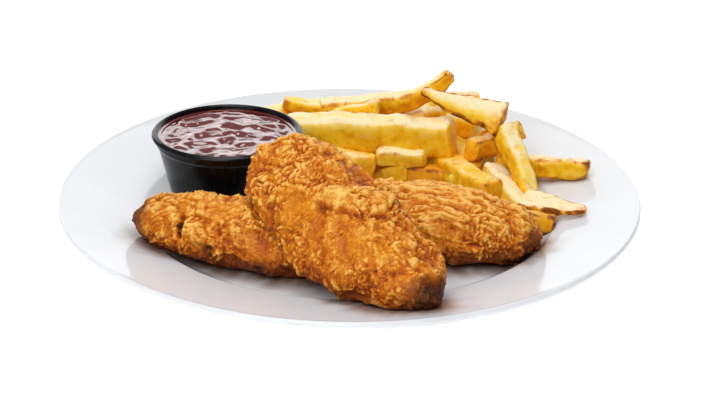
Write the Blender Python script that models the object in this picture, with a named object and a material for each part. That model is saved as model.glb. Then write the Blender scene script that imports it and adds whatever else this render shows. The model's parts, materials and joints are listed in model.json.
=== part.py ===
"""A plated meal: three fried chicken tenders, a heap of chunky fries and a pot of barbecue sauce on a white plate.

The origin is at the middle of the plate's foot, +Z is up, -Y is the diner's side and +X is to the diner's right.
"""

import math
import random
from dataclasses import dataclass

import bmesh
import bpy
import numpy as np
from mathutils import Vector, noise
from mathutils.bvhtree import BVHTree

MM = 0.001
GAP = 0.4 * MM

# The plate: a nine inch porcelain plate with a wide sloping rim and a shallow well.
PLATE_RADIUS = 116 * MM
PLATE_HEIGHT = 20 * MM
WELL_RADIUS = 83 * MM
WELL_EDGE_Z = 12.2 * MM
WELL_FLOOR_RADIUS = 74 * MM
WELL_FLOOR_Z = 7 * MM
RIM_THICKNESS = 3.8 * MM
FOOT_RADIUS = 66 * MM
PLATE_SEGMENTS = 60

# The pot: a two ounce portion cup with a rolled lip and a stepped band under it.
POT_AT = Vector((-49.6, 15.2, 0)) * MM
POT_HEIGHT = 31 * MM
POT_TOP_RADIUS = 30.5 * MM
POT_BASE_RADIUS = 22.5 * MM
POT_WALL = 1.1 * MM
POT_LIP = 1.5 * MM
POT_BAND = 4.2 * MM
POT_SEGMENTS = 40

# The sauce fills the pot to just under the lip and is heaped up in the middle.
SAUCE_BELOW_LIP = 2.4 * MM
SAUCE_HEAP = 1.4 * MM
SAUCE_RINGS = 7

# Every tender is a loft of this many sections, each of this many points.
TENDER_STATIONS = 26
TENDER_SIDES = 34
CRAG_HEIGHT = 2.2 * MM
CRAG_SPACING = 11 * MM
CRUMB_HEIGHT = 1.6 * MM
CRUMB_SPACING = 6.5 * MM
SUPPORT_REACH = 4 * MM

FRY_STATIONS = 4
FRY_CHAMFER = 0.24
FRY_GAP = 0.9 * MM
CORE_AT = Vector((27, 42, 0)) * MM
CORE_SIZE = Vector((38, 30, 16)) * MM


@dataclass(frozen=True)
class Tender:
    """A chicken tender: points of its middle line in mm, with half its width and height and its lean at each."""

    name: str
    spine: tuple
    half_widths: tuple
    half_heights: tuple
    leans: tuple
    seed: float
    rounding: float = 0.16


@dataclass(frozen=True)
class Fry:
    """A chunky fry: points of its middle line, its width and height in mm, its lean and the size of its ends."""

    spine: tuple
    width: float
    height: float
    lean: float = 0.0
    start_size: float = 1.0
    end_size: float = 1.0


TENDERS = (
    Tender(
        name="tender_left",
        spine=((-83.5, -32, 20.5), (-71, -33, 19.8), (-52, -37.5, 19), (-32, -43.5, 18), (-14, -49.5, 17), (0, -54, 15)),
        half_widths=(8, 14, 18, 18.5, 16, 10),
        half_heights=(7, 10, 12.5, 12.5, 10, 7),
        leans=(0, 0, 0, 0, 0, 0),
        seed=3.1,
    ),
    Tender(
        name="tender_right",
        spine=((-6, -8, 16), (12, -18, 18.5), (34, -27.5, 18.5), (54, -34.5, 17.5), (65, -37.5, 16), (73, -39.5, 14)),
        half_widths=(9, 18, 22, 20, 14, 8),
        half_heights=(7, 11, 13, 11.5, 9.5, 6.5),
        leans=(0, 0, 0, 0, 0, 0),
        seed=11.7,
    ),
    Tender(
        name="tender_centre",
        spine=(
            (-31, -21, 42.5),
            (-25.5, -31, 41.5),
            (-16, -46, 37.5),
            (-6, -60, 33),
            (6.5, -73.5, 28),
            (19.5, -87, 23.5),
            (31.5, -99.5, 19),
        ),
        half_widths=(10, 16.5, 21.5, 22.5, 21, 17, 11.5),
        half_heights=(8, 10, 11.5, 12, 11, 9.5, 7),
        leans=(-25, -32, -38, -38, -34, -26, -15),
        seed=23.9,
    ),
)

FRIES = (
    # The bottom layer, on the floor of the well.
    Fry(((-14, 30, 13.6), (-8, 70, 17.5)), 12, 12, 4),
    Fry(((-6, 30, 16.5), (9, 34, 15)), 11, 13, -6),
    Fry(((18.6, 30, 19), (14, 72, 19)), 14, 8.5, 3),
    Fry(((19, 28, 13), (22, 74, 14)), 11, 9, -5),
    Fry(((20, 45, 15), (44, 40, 15)), 12, 14, -4),
    Fry(((46, 15, 13.2), (55, 56, 14)), 11, 11, 8),
    Fry(((8, 18, 13.4), (43, 12, 13.4)), 12, 11, 4),
    Fry(((57, 28, 20), (63, 8, 18), (68.5, -7, 15.2)), 12, 10, 12),
    # The ends that lie on the right of the rim.
    Fry(((61, 33, 17), (87, 24, 19), (98.5, 20, 21.4)), 9, 9, 8, 1.0, 0.7),
    Fry(((66, -12, 12.5), (81, -19, 12.5)), 11, 10, 15, 1.0, 0.7),
    Fry(((68, -6, 18), (83, -12, 16.8), (94, -16, 17.5)), 16, 9, -6, 1.0, 0.3),
    # The back of the heap, up to the rim.
    Fry(((-36, 65, 14.5), (-6, 80, 21)), 11, 11, -4),
    Fry(((-42, 74, 19), (-18, 83.5, 21)), 10, 10, 5),
    Fry(((-6, 73, 15), (30, 80, 17.5)), 11, 11, 6),
    Fry(((2, 66, 23), (40, 71, 24)), 11, 10, -6),
    Fry(((-29, 74, 28), (-17, 73, 26), (6, 69, 27)), 10, 10, -8, 0.45, 1.0),
    Fry(((20, 78, 20.5), (56, 66, 20)), 11, 11, 3),
    Fry(((34, 74, 29), (56, 79, 28)), 10, 9, 10),
    # The second layer.
    Fry(((-25, 41, 27.4), (12, 39.5, 27.6), (46, 37.5, 25.4)), 12, 14.5, 3, 0.95, 1.12),
    Fry(((40, 30, 21), (48.4, 15, 21), (58.5, 1, 18.6)), 11, 10, 10),
    Fry(((0, 54, 24), (32, 58, 25)), 11, 11, -5),
    Fry(((50, 29, 24), (68, 44, 24)), 9, 9, 6),
    # The top of the heap.
    Fry(((-12, 58, 30), (10, 57, 33.5), (30, 55.5, 38), (44, 54, 48.6)), 8, 9, -6, 1.0, 0.7),
    Fry(((-9, 50, 32), (1, 51, 33), (13, 52, 34.5)), 9, 6, 20, 0.3, 1.0),
    Fry(((30, 45, 45), (48, 38, 40), (65, 31, 36)), 15, 8, -42, 0.3, 1.0),
    Fry(((65, 31, 38), (69.4, 16, 26.5), (75, 3, 14.5)), 9, 10, 10),
    Fry(((58, 48, 22), (71, 38, 30)), 9, 9, 0),
)


def clear_scene():
    """Removes every object that the scene starts with."""
    for obj in list(bpy.data.objects):
        bpy.data.objects.remove(obj)


def material(name, colour, roughness):
    """A plain material of one colour."""
    made = bpy.data.materials.new(name)
    made.use_nodes = True
    shader = made.node_tree.nodes["Principled BSDF"]
    shader.inputs["Base Color"].default_value = (*colour, 1)
    shader.inputs["Roughness"].default_value = roughness
    return made


def add_object(name, points, faces, finish):
    """A smooth shaded object made from points in metres and faces."""
    mesh = bpy.data.meshes.new(name)
    mesh.from_pydata([tuple(p) for p in points], [], faces)
    mesh.materials.append(finish)
    mesh.shade_smooth()
    mesh.set_sharp_from_angle(angle=math.radians(50))
    obj = bpy.data.objects.new(name, mesh)
    bpy.context.scene.collection.objects.link(obj)
    return obj


def lathe(name, profile, segments, finish, at=(0, 0, 0)):
    """A turned solid: the profile of (radius, height) pairs, closed on the axis, spun about Z by a Screw."""
    points = [(r, 0, z) for r, z in profile]
    mesh = bpy.data.meshes.new(name)
    mesh.from_pydata(points, [(i, i + 1) for i in range(len(points) - 1)], [])
    mesh.materials.append(finish)
    obj = bpy.data.objects.new(name, mesh)
    obj.location = at
    bpy.context.scene.collection.objects.link(obj)
    spin = obj.modifiers.new("spin", "SCREW")
    spin.steps = segments
    spin.render_steps = segments
    spin.use_merge_vertices = True
    spin.merge_threshold = 1e-5
    spin.use_normal_calculate = True
    return obj


def plate_top(radius):
    """The height of the plate's upper face at a distance from its middle."""
    rim_slope = (PLATE_HEIGHT - WELL_EDGE_Z) / (PLATE_RADIUS - WELL_RADIUS)
    if radius <= WELL_FLOOR_RADIUS:
        return WELL_FLOOR_Z
    if radius <= WELL_RADIUS:
        share = (radius - WELL_FLOOR_RADIUS) / (WELL_RADIUS - WELL_FLOOR_RADIUS)
        return WELL_FLOOR_Z + (WELL_EDGE_Z - WELL_FLOOR_Z) * share**1.6
    return WELL_EDGE_Z + rim_slope * (radius - WELL_RADIUS)


def make_plate(finish):
    """The plate, from the middle of its upper face round the lip and the foot to the middle underneath."""
    wall = [WELL_FLOOR_RADIUS + (WELL_RADIUS - WELL_FLOOR_RADIUS) * k / 4 for k in range(5)]
    rim = [WELL_RADIUS + 3 * MM, PLATE_RADIUS - 14 * MM, PLATE_RADIUS - 2.2 * MM]
    top = [(0, WELL_FLOOR_Z)] + [(r, plate_top(r)) for r in wall + rim]
    under = PLATE_HEIGHT - RIM_THICKNESS
    lip = [
        (PLATE_RADIUS - 0.7 * MM, PLATE_HEIGHT),
        (PLATE_RADIUS, PLATE_HEIGHT - 1.5 * MM),
        (PLATE_RADIUS - 0.8 * MM, under + 0.4 * MM),
        (PLATE_RADIUS - 3 * MM, under - 0.6 * MM),
    ]
    below = [
        (WELL_RADIUS + 4 * MM, WELL_EDGE_Z - RIM_THICKNESS),
        (WELL_FLOOR_RADIUS + 2 * MM, 4.2 * MM),
        (FOOT_RADIUS + 2 * MM, 2.6 * MM),
        (FOOT_RADIUS, 0),
        (FOOT_RADIUS - 3.5 * MM, 0),
        (FOOT_RADIUS - 5.5 * MM, 2.4 * MM),
        (0, 2.6 * MM),
    ]
    return lathe("plate", top + lip + below, PLATE_SEGMENTS, finish)


def make_pot(finish):
    """The empty pot, from the middle of its floor up the inside, over the lip and down the outside."""
    base = WELL_FLOOR_Z + GAP
    top = base + POT_HEIGHT
    wall_radius = POT_TOP_RADIUS - POT_LIP
    band_z = top - POT_BAND
    taper = (wall_radius - 0.8 * MM - POT_BASE_RADIUS) / (band_z - base)
    inside = [
        (0, base + POT_WALL),
        (POT_BASE_RADIUS - POT_WALL - 1 * MM, base + POT_WALL),
        (POT_BASE_RADIUS - POT_WALL + taper * 2 * MM, base + 3 * MM),
        (wall_radius - POT_WALL - 0.9 * MM, band_z - 0.6 * MM),
        (wall_radius - POT_WALL, band_z + 0.4 * MM),
        (wall_radius - POT_WALL, top - 0.5 * MM),
    ]
    lip = [
        (wall_radius - POT_WALL + 0.4 * MM, top),
        (POT_TOP_RADIUS - 0.4 * MM, top),
        (POT_TOP_RADIUS, top - 0.5 * MM),
        (POT_TOP_RADIUS, top - 1.7 * MM),
        (wall_radius, top - 1.9 * MM),
    ]
    outside = [
        (wall_radius, band_z),
        (wall_radius - 0.9 * MM, band_z - 1 * MM),
        (POT_BASE_RADIUS, base + 0.8 * MM),
        (POT_BASE_RADIUS - 0.8 * MM, base),
        (0, base),
    ]
    return lathe("sauce_pot", inside + lip + outside, POT_SEGMENTS, finish, POT_AT)


def make_sauce(finish):
    """The sauce: flat where it meets the pot, with a heaped and rippled top."""
    base = WELL_FLOOR_Z + GAP
    level = base + POT_HEIGHT - SAUCE_BELOW_LIP
    wall_radius = POT_TOP_RADIUS - POT_LIP
    gap = 0.35 * MM
    bottom_radius = POT_BASE_RADIUS - POT_WALL - 1.4 * MM
    top_radius = wall_radius - POT_WALL - gap
    sides = [
        (bottom_radius, base + POT_WALL + gap),
        (POT_BASE_RADIUS - POT_WALL - gap, base + 3.4 * MM),
        (wall_radius - POT_WALL - 0.9 * MM - gap, base + POT_HEIGHT - POT_BAND - 0.8 * MM),
    ]
    points = [(POT_AT.x, POT_AT.y, base + POT_WALL + gap)]
    rings = list(sides)
    rings += [(top_radius * (1 - k / SAUCE_RINGS), None) for k in range(SAUCE_RINGS)]
    for radius, height in rings:
        for s in range(POT_SEGMENTS):
            turn = math.tau * s / POT_SEGMENTS
            x = POT_AT.x + radius * math.cos(turn)
            y = POT_AT.y + radius * math.sin(turn)
            z = height if height is not None else level + sauce_relief(x, y, radius / top_radius)
            points.append((x, y, z))
    points.append((POT_AT.x, POT_AT.y, level + sauce_relief(POT_AT.x, POT_AT.y, 0)))
    faces = ring_faces(len(rings), POT_SEGMENTS)
    return add_object("sauce", points, faces, finish)


def sauce_relief(x, y, share):
    """How far the sauce stands above its level: a low heap with ripples that die out at the wall."""
    heap = SAUCE_HEAP * (1 - share**2)
    ripple = noise.noise(Vector((x, y * 1.8, 0)) / (9 * MM)) * 1.1 * MM
    return heap + ripple * (1 - share**4)


def ring_faces(rings, sides):
    """Faces of a closed skin: a first pole, rings of points and a last pole, in that order."""
    faces = []
    for s in range(sides):
        faces.append((0, 1 + (s + 1) % sides, 1 + s))
    for k in range(rings - 1):
        low = 1 + k * sides
        for s in range(sides):
            t = (s + 1) % sides
            faces.append((low + s, low + t, low + sides + t, low + sides + s))
    last = 1 + (rings - 1) * sides
    for s in range(sides):
        faces.append((last + s, last + (s + 1) % sides, last + sides))
    return faces


def smooth_at(values, t):
    """The value at t, from 0 to 1, on a smooth curve through evenly spaced values (Catmull-Rom)."""
    rows = np.atleast_2d(np.array(values, float).T).T
    place = t * (len(rows) - 1)
    k = min(int(place), len(rows) - 2)
    u = place - k
    before = rows[k - 1] if k > 0 else 2 * rows[0] - rows[1]
    after = rows[k + 2] if k + 2 < len(rows) else 2 * rows[-1] - rows[-2]
    a, b = rows[k], rows[k + 1]
    bend = 2 * before - 5 * a + 4 * b - after
    twist = 3 * a - before - 3 * b + after
    return a + 0.5 * u * (b - before + u * (bend + u * twist))


def end_rounding(t, length):
    """How much of its full section a tender has at t, so that both of its ends are round."""
    along = min(t, 1 - t)
    if along < length:
        return math.sqrt(max(0.0, 1 - (1 - along / length) ** 2))
    return 1.0


def frame_at(spine, t, lean):
    """The point at t on a middle line, with the leaned sideways and upward directions there."""
    middle = Vector(smooth_at(spine, t)) * MM
    ahead = Vector(smooth_at(spine, min(1, t + 0.01)))
    behind = Vector(smooth_at(spine, max(0, t - 0.01)))
    along = (ahead - behind).normalized()
    across = along.cross(Vector((0, 0, 1))).normalized()
    up = across.cross(along).normalized()
    turn = math.radians(lean)
    side = across * math.cos(turn) + up * math.sin(turn)
    top = up * math.cos(turn) - across * math.sin(turn)
    return middle, side, top


def crust_relief(point, seed):
    """The crags and crumbs of the crust at a point."""
    shift = Vector((seed, -seed, seed * 0.5))
    crag = noise.noise(point / CRAG_SPACING + shift)
    crumb = abs(noise.noise(point / CRUMB_SPACING - shift))
    return CRAG_HEIGHT * crag + CRUMB_HEIGHT * (crumb - 0.25)


def tender_points(tender):
    """The points of a tender's skin: a pole, the sections along its length and the other pole."""
    points = []
    last = TENDER_STATIONS + 1
    for k in range(last + 1):
        t = 0.5 - 0.5 * math.cos(math.pi * k / last)
        middle, side, top = frame_at(tender.spine, t, smooth_at(tender.leans, t)[0])
        if k in (0, last):
            points.append(middle)
            continue
        size = end_rounding(t, tender.rounding)
        width = smooth_at(tender.half_widths, t)[0] * MM * size
        height = smooth_at(tender.half_heights, t)[0] * MM * size
        for s in range(TENDER_SIDES):
            angle = -math.tau * s / TENDER_SIDES
            out = side * (math.cos(angle) * width) + top * (math.sin(angle) * height)
            point = middle + out
            points.append(point + out.normalized() * crust_relief(point, tender.seed))
    return points


def height_near(tree, point, reach):
    """The greatest height of a support's upper face round a point, or None where there is no support."""
    heights = []
    for ring in (0.0, 0.5, 1.0):
        for k in range(12 if ring else 1):
            turn = math.tau * k / 12
            away = Vector((math.cos(turn), math.sin(turn), 0)) * reach * ring
            hit = tree.ray_cast(Vector((point.x, point.y, 0.2)) + away, Vector((0, 0, -1)))[0]
            if hit is not None:
                heights.append(hit.z)
    return max(heights, default=None)


def lift_clear(points, supports, gap=GAP):
    """Lifts each point that is under the plate's face or under a support's upper face to a gap above it."""
    lifted = []
    for p in points:
        least = plate_top(math.hypot(p.x, p.y)) + gap
        for tree in supports:
            height = height_near(tree, p, SUPPORT_REACH)
            if height is not None:
                least = max(least, height + gap)
        lifted.append(Vector((p.x, p.y, max(p.z, least))))
    return lifted


def make_tender(tender, supports, finish):
    """A tender that rests on the plate and on its supports."""
    points = lift_clear(tender_points(tender), supports)
    faces = ring_faces(TENDER_STATIONS, TENDER_SIDES)
    return add_object(tender.name, points, faces, finish)


def tree_of(obj):
    """A search tree over an object's faces."""
    return BVHTree.FromPolygons([v.co for v in obj.data.vertices], [p.vertices for p in obj.data.polygons])


def fry_points(fry, seed):
    """The points of a fry: a pole, sections with cut corners along its length and the other pole."""
    draw = random.Random(seed)
    cut = 1 - 2 * FRY_CHAMFER
    corners = ((1, cut), (1, -cut), (cut, -1), (-cut, -1), (-1, -cut), (-1, cut), (-cut, 1), (cut, 1))
    shares = [0.0, 0.02] + [k / (FRY_STATIONS + 1) for k in range(1, FRY_STATIONS + 1)] + [0.98, 1.0]
    points = [Vector(fry.spine[0]) * MM]
    for t in shares:
        ends = 0.8 if t in (0.0, 1.0) else 1.0
        size = (fry.start_size + (fry.end_size - fry.start_size) * t) * ends * draw.uniform(0.95, 1.05) * MM / 2
        middle, side, top = frame_at(fry.spine, t, fry.lean)
        for a, b in corners:
            points.append(middle + side * (a * fry.width * size) + top * (b * fry.height * size))
    points.append(Vector(fry.spine[-1]) * MM)
    return points, len(shares)


def keep_largest(obj):
    """Keeps the largest connected skin, so that sealed hollows are filled and loose scraps are dropped."""
    skin = bmesh.new()
    skin.from_mesh(obj.data)
    islands = []
    waiting = set(skin.verts)
    while waiting:
        island = [waiting.pop()]
        for vertex in island:
            for edge in vertex.link_edges:
                near = edge.other_vert(vertex)
                if near in waiting:
                    waiting.remove(near)
                    island.append(near)
        islands.append(island)
    islands.sort(key=len)
    bmesh.ops.delete(skin, geom=[v for island in islands[:-1] for v in island], context="VERTS")
    skin.to_mesh(obj.data)
    skin.free()


def make_core(finish):
    """The low mound under the fries, resting just clear of the plate."""
    bpy.ops.mesh.primitive_ico_sphere_add(subdivisions=2, radius=1)
    core = bpy.context.object
    core.name = "fries"
    core.data.materials.append(finish)
    middle = CORE_AT + Vector((0, 0, WELL_FLOOR_Z))
    points = [vertex.co * Vector(CORE_SIZE) + middle for vertex in core.data.vertices]
    for vertex, point in zip(core.data.vertices, lift_clear(points, [], FRY_GAP)):
        vertex.co = point
    return core


def make_fries(finish):
    """The heap of fries: a low core with the fries fused on to it."""
    heap = make_core(finish)
    loose = bpy.data.collections.new("loose_fries")
    bpy.context.scene.collection.children.link(loose)
    for number, fry in enumerate(FRIES):
        points, rings = fry_points(fry, number)
        piece = add_object(f"fry_{number}", lift_clear(points, [], FRY_GAP), ring_faces(rings, 8), finish)
        bpy.context.scene.collection.objects.unlink(piece)
        loose.objects.link(piece)
    union = heap.modifiers.new("fuse", "BOOLEAN")
    union.operation = "UNION"
    union.operand_type = "COLLECTION"
    union.collection = loose
    union.solver = "MANIFOLD"
    bpy.context.view_layer.objects.active = heap
    bpy.ops.object.modifier_apply(modifier=union.name)
    for piece in list(loose.objects):
        bpy.data.objects.remove(piece)
    bpy.data.collections.remove(loose)
    keep_largest(heap)
    heap.data.shade_smooth()
    heap.data.set_sharp_from_angle(angle=math.radians(50))
    return heap


def main():
    """Builds the plate and everything on it."""
    clear_scene()
    porcelain = material("porcelain", (0.86, 0.86, 0.87), 0.1)
    plastic = material("black_plastic", (0.012, 0.012, 0.013), 0.35)
    barbecue = material("barbecue_sauce", (0.14, 0.012, 0.008), 0.15)
    crust = material("fried_crust", (0.60, 0.19, 0.018), 0.5)
    potato = material("fried_potato", (0.78, 0.45, 0.06), 0.5)
    make_plate(porcelain)
    make_pot(plastic)
    make_sauce(barbecue)
    make_fries(potato)
    left, right, centre = TENDERS
    under = [tree_of(make_tender(tender, [], crust)) for tender in (left, right)]
    make_tender(centre, under, crust)


main()
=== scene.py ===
"""The looks of a plated meal: chicken tenders, chunky fries and a pot of barbecue sauce on a white plate.

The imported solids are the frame. Every piece here stands in the place of one of them, at its true size in metres,
with +Z up, -Y towards the diner and +X to the diner's right.
"""

import itertools
import json
import logging
import math
from dataclasses import dataclass
from enum import Enum

import bmesh
import bpy
import numpy as np
from mathutils import Matrix, Vector
from mathutils.bvhtree import BVHTree
from mathutils.kdtree import KDTree

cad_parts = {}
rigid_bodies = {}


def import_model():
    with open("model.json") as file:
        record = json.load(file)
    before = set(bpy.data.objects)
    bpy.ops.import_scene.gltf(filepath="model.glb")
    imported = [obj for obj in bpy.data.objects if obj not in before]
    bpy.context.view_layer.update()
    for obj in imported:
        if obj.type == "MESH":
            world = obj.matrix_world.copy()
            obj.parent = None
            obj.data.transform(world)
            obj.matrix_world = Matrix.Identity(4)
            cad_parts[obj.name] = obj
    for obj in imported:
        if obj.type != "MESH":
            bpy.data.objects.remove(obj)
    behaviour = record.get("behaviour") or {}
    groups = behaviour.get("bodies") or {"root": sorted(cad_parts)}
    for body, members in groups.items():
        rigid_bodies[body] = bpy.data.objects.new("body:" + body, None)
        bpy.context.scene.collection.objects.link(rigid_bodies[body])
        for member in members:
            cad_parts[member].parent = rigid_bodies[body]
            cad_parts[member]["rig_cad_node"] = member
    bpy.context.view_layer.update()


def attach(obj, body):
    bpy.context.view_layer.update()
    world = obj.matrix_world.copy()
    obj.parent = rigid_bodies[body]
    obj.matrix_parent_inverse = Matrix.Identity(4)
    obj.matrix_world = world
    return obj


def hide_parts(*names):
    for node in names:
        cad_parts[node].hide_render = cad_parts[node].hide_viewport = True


MM = 0.001
LOG = logging.getLogger("plated_meal")

NO_QUADS = np.empty((0, 4), int)

# Waves are sizes of noise, each with its cell width, its height and the shift that picks its part of the noise.
Colour = tuple[float, float, float]
Place = tuple[float, float, float]
Socket = bpy.types.NodeSocket
Marks = dict[str, np.ndarray]
Waves = tuple[tuple[float, float, float], ...]


# ---- Noise, curves and meshes ----


class Grain:
    """Seeded noise over points in space, for relief and for uneven colour."""

    def __init__(self, seed: int) -> None:
        """Draws the tables that the noise is made of.

        Args:
            seed: The number that settles every draw.
        """
        draw = np.random.default_rng(seed)
        self._order = draw.permutation(256)
        self._slopes = unit(draw.normal(size=(256, 3)))
        self._spots = draw.random((256, 3))
        self._tones = draw.random(256)

    def _entry(self, cells: np.ndarray) -> np.ndarray:
        """The table entry of each cell of the grid."""
        c = cells & 255
        order = self._order
        return order[(order[(order[c[..., 0]] + c[..., 1]) & 255] + c[..., 2]) & 255]

    def smooth(self, points: np.ndarray, size: float, shift: float = 0.0) -> np.ndarray:
        """Gradient noise.

        Args:
            points: The places, one row each.
            size: The width of one cell of the noise.
            shift: Moves the noise along, to draw another part of it.

        Returns:
            A value from about -1 to 1 for each point.
        """
        place = points / size + shift
        base = np.floor(place).astype(np.int64)
        part = place - base
        fade = part**3 * (part * (part * 6 - 15) + 10)
        total = np.zeros(len(points))
        for corner in itertools.product((0, 1), repeat=3):
            at = np.array(corner)
            slope = self._slopes[self._entry(base + at)]
            total += np.einsum("ij,ij->i", slope, part - at) * np.abs(1 - at - fade).prod(axis=1)
        return total * 1.5

    def summed(self, points: np.ndarray, waves: Waves, unit: float = 1.0) -> np.ndarray:
        """Gradient noise of several sizes, added up.

        Args:
            points: The places, one row each.
            waves: The cell width, the height and the shift of each size.
            unit: What a width of 1 is in the points' own unit.

        Returns:
            The sum for each point.
        """
        return sum(height * self.smooth(points, size * unit, shift) for size, height, shift in waves)

    def layers(self, points: np.ndarray, size: float, count: int, shift: float = 0.0) -> np.ndarray:
        """Layers of gradient noise, each half as wide and half as strong as the one before.

        Args:
            points: The places, one row each.
            size: The width of the first layer's cells.
            count: How many layers.
            shift: Moves the noise along.

        Returns:
            A value from about -1 to 1 for each point.
        """
        total = np.zeros(len(points))
        for k in range(count):
            total += self.smooth(points, size / 2**k, shift + 7.3 * k) / 2**k
        return total / 1.4

    def lumps(self, points: np.ndarray, size: float, shift: float = 0.0) -> tuple[np.ndarray, np.ndarray]:
        """Cells round scattered spots, as of crumbs packed together.

        Args:
            points: The places, one row each.
            size: The width of one cell.
            shift: Moves the cells along.

        Returns:
            The distance to the nearest spot in cells, and that spot's own draw, 0 to 1.
        """
        place = points / size + shift
        base = np.floor(place).astype(np.int64)
        nearest = np.full(len(points), np.inf)
        tone = np.zeros(len(points))
        for step in itertools.product((-1, 0, 1), repeat=3):
            cell = base + np.array(step)
            entry = self._entry(cell)
            away = np.linalg.norm(place - cell - self._spots[entry], axis=1)
            closer = away < nearest
            tone = np.where(closer, self._tones[entry], tone)
            nearest = np.where(closer, away, nearest)
        return nearest, tone


def eased(values: np.ndarray, low: float, high: float) -> np.ndarray:
    """A smooth step from 0 at low to 1 at high."""
    share = np.clip((np.asarray(values, float) - low) / (high - low), 0.0, 1.0)
    return share * share * (3 - 2 * share)


def unit(ways: np.ndarray) -> np.ndarray:
    """Directions brought to length 1: one alone, or one in each row."""
    return ways / np.linalg.norm(ways, axis=-1, keepdims=True)


def curve_at(rows: np.ndarray, shares: np.ndarray) -> np.ndarray:
    """Points of a smooth curve through evenly spaced rows.

    Args:
        rows: The rows that the curve passes through.
        shares: Where along the curve, each from 0 to 1.

    Returns:
        One row for each share.
    """
    rows = np.asarray(rows, float)
    padded = np.vstack([2 * rows[0] - rows[1], rows, 2 * rows[-1] - rows[-2]])
    place = np.clip(shares, 0, 1) * (len(rows) - 1)
    k = np.minimum(place.astype(int), len(rows) - 2)
    u = (place - k)[:, None]
    before, a, b, after = padded[k], padded[k + 1], padded[k + 2], padded[k + 3]
    bend = 2 * before - 5 * a + 4 * b - after
    twist = 3 * a - before - 3 * b + after
    return a + 0.5 * u * (b - before + u * (bend + u * twist))


class MeshSketch:
    """Gathers patches of points, faces and marks, and makes one object of them."""

    def __init__(self) -> None:
        """Starts with nothing in it."""
        self._points: list[np.ndarray] = []
        self._quads: list[np.ndarray] = []
        self._tris: list[np.ndarray] = []
        self._marks: dict[str, list[np.ndarray]] = {}
        self._count = 0

    def add(self, points: np.ndarray, quads: np.ndarray, tris: np.ndarray, marks: Marks) -> None:
        """Adds a closed patch, turned so that its faces look outwards.

        Args:
            points: The patch's points.
            quads: Its four-sided faces, as rows of point numbers.
            tris: Its three-sided faces.
            marks: Named values, one for each point.
        """
        whole = np.vstack([tris, quads[:, [0, 1, 2]], quads[:, [0, 2, 3]]])
        a, b, c = (points[whole[:, k]] for k in range(3))
        if np.einsum("ij,ij->i", a, np.cross(b, c)).sum() < 0:
            quads, tris = quads[:, ::-1], tris[:, ::-1]
        self._points.append(points)
        self._quads.append(quads + self._count)
        self._tris.append(tris + self._count)
        for name, values in marks.items():
            self._marks.setdefault(name, []).append(np.asarray(values, float))
        self._count += len(points)

    def make(self, name: str) -> bpy.types.Object:
        """Makes the object.

        Args:
            name: The object's name.

        Returns:
            The new object, smooth shaded, without a material.
        """
        points = np.vstack(self._points)
        quads = np.vstack(self._quads)
        tris = np.vstack(self._tris)
        mesh = bpy.data.meshes.new(name)
        mesh.vertices.add(len(points))
        mesh.vertices.foreach_set("co", points.ravel())
        mesh.loops.add(quads.size + tris.size)
        mesh.loops.foreach_set("vertex_index", np.concatenate([quads.ravel(), tris.ravel()]))
        mesh.polygons.add(len(quads) + len(tris))
        starts = np.concatenate([np.arange(len(quads)) * 4, quads.size + np.arange(len(tris)) * 3])
        mesh.polygons.foreach_set("loop_start", starts)
        mesh.update(calc_edges=True)
        mesh.shade_smooth()
        piece = bpy.data.objects.new(name, mesh)
        bpy.context.scene.collection.objects.link(piece)
        for mark, patches in self._marks.items():
            set_mark(piece, mark, np.concatenate(patches))
        return piece


def set_mark(piece: bpy.types.Object, name: str, values: np.ndarray) -> None:
    """Writes a named value on each point of a piece, for its material to read.

    Args:
        piece: The piece.
        name: The name of the value.
        values: One value for each point.
    """
    mark = piece.data.attributes.new(name, "FLOAT", "POINT")
    mark.data.foreach_set("value", np.asarray(values, np.float32))


def marks_of(marks: Marks, pick: int, count: int) -> Marks:
    """The marks of one point, repeated for count new points."""
    return {name: np.full(count, values[pick]) for name, values in marks.items()}


def points_of(piece: bpy.types.Object) -> tuple[np.ndarray, np.ndarray]:
    """The points of a piece's mesh and the directions that they face.

    Args:
        piece: The piece.

    Returns:
        The points and their unit normals, one row each.
    """
    mesh = piece.data
    points = np.empty(len(mesh.vertices) * 3)
    mesh.vertices.foreach_get("co", points)
    normals = np.empty(len(mesh.vertices) * 3)
    mesh.vertex_normals.foreach_get("vector", normals)
    return points.reshape(-1, 3), normals.reshape(-1, 3)


def set_points(piece: bpy.types.Object, points: np.ndarray) -> None:
    """Moves the points of a piece's mesh."""
    piece.data.vertices.foreach_set("co", np.ascontiguousarray(points).ravel())
    piece.data.update()


def averaged(piece: bpy.types.Object, values: np.ndarray, rounds: int) -> np.ndarray:
    """Values on the points of a piece, each taken towards the mean of its neighbours'.

    Args:
        piece: The piece.
        values: One row for each point.
        rounds: How many times, which sets how far round a point the mean reaches.

    Returns:
        The evened values.
    """
    mesh = piece.data
    ends = np.empty(len(mesh.edges) * 2, np.int32)
    mesh.edges.foreach_get("vertices", ends)
    a, b = ends.reshape(-1, 2).T
    count = len(mesh.vertices)
    shared = np.maximum(np.bincount(np.concatenate([a, b]), minlength=count), 1)
    rows = np.atleast_2d(values.T).copy()
    for _ in range(rounds):
        for k, row in enumerate(rows):
            rows[k] = (np.bincount(a, row[b], count) + np.bincount(b, row[a], count)) / shared
    return rows.T if values.ndim > 1 else rows[0]


def standing_out(piece: bpy.types.Object, rounds: int) -> np.ndarray:
    """How far each point of a piece stands out of its surroundings in mm, below 0 in a hollow."""
    points, normals = points_of(piece)
    return np.einsum("ij,ij->i", points - averaged(piece, points, rounds), normals) / MM


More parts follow.
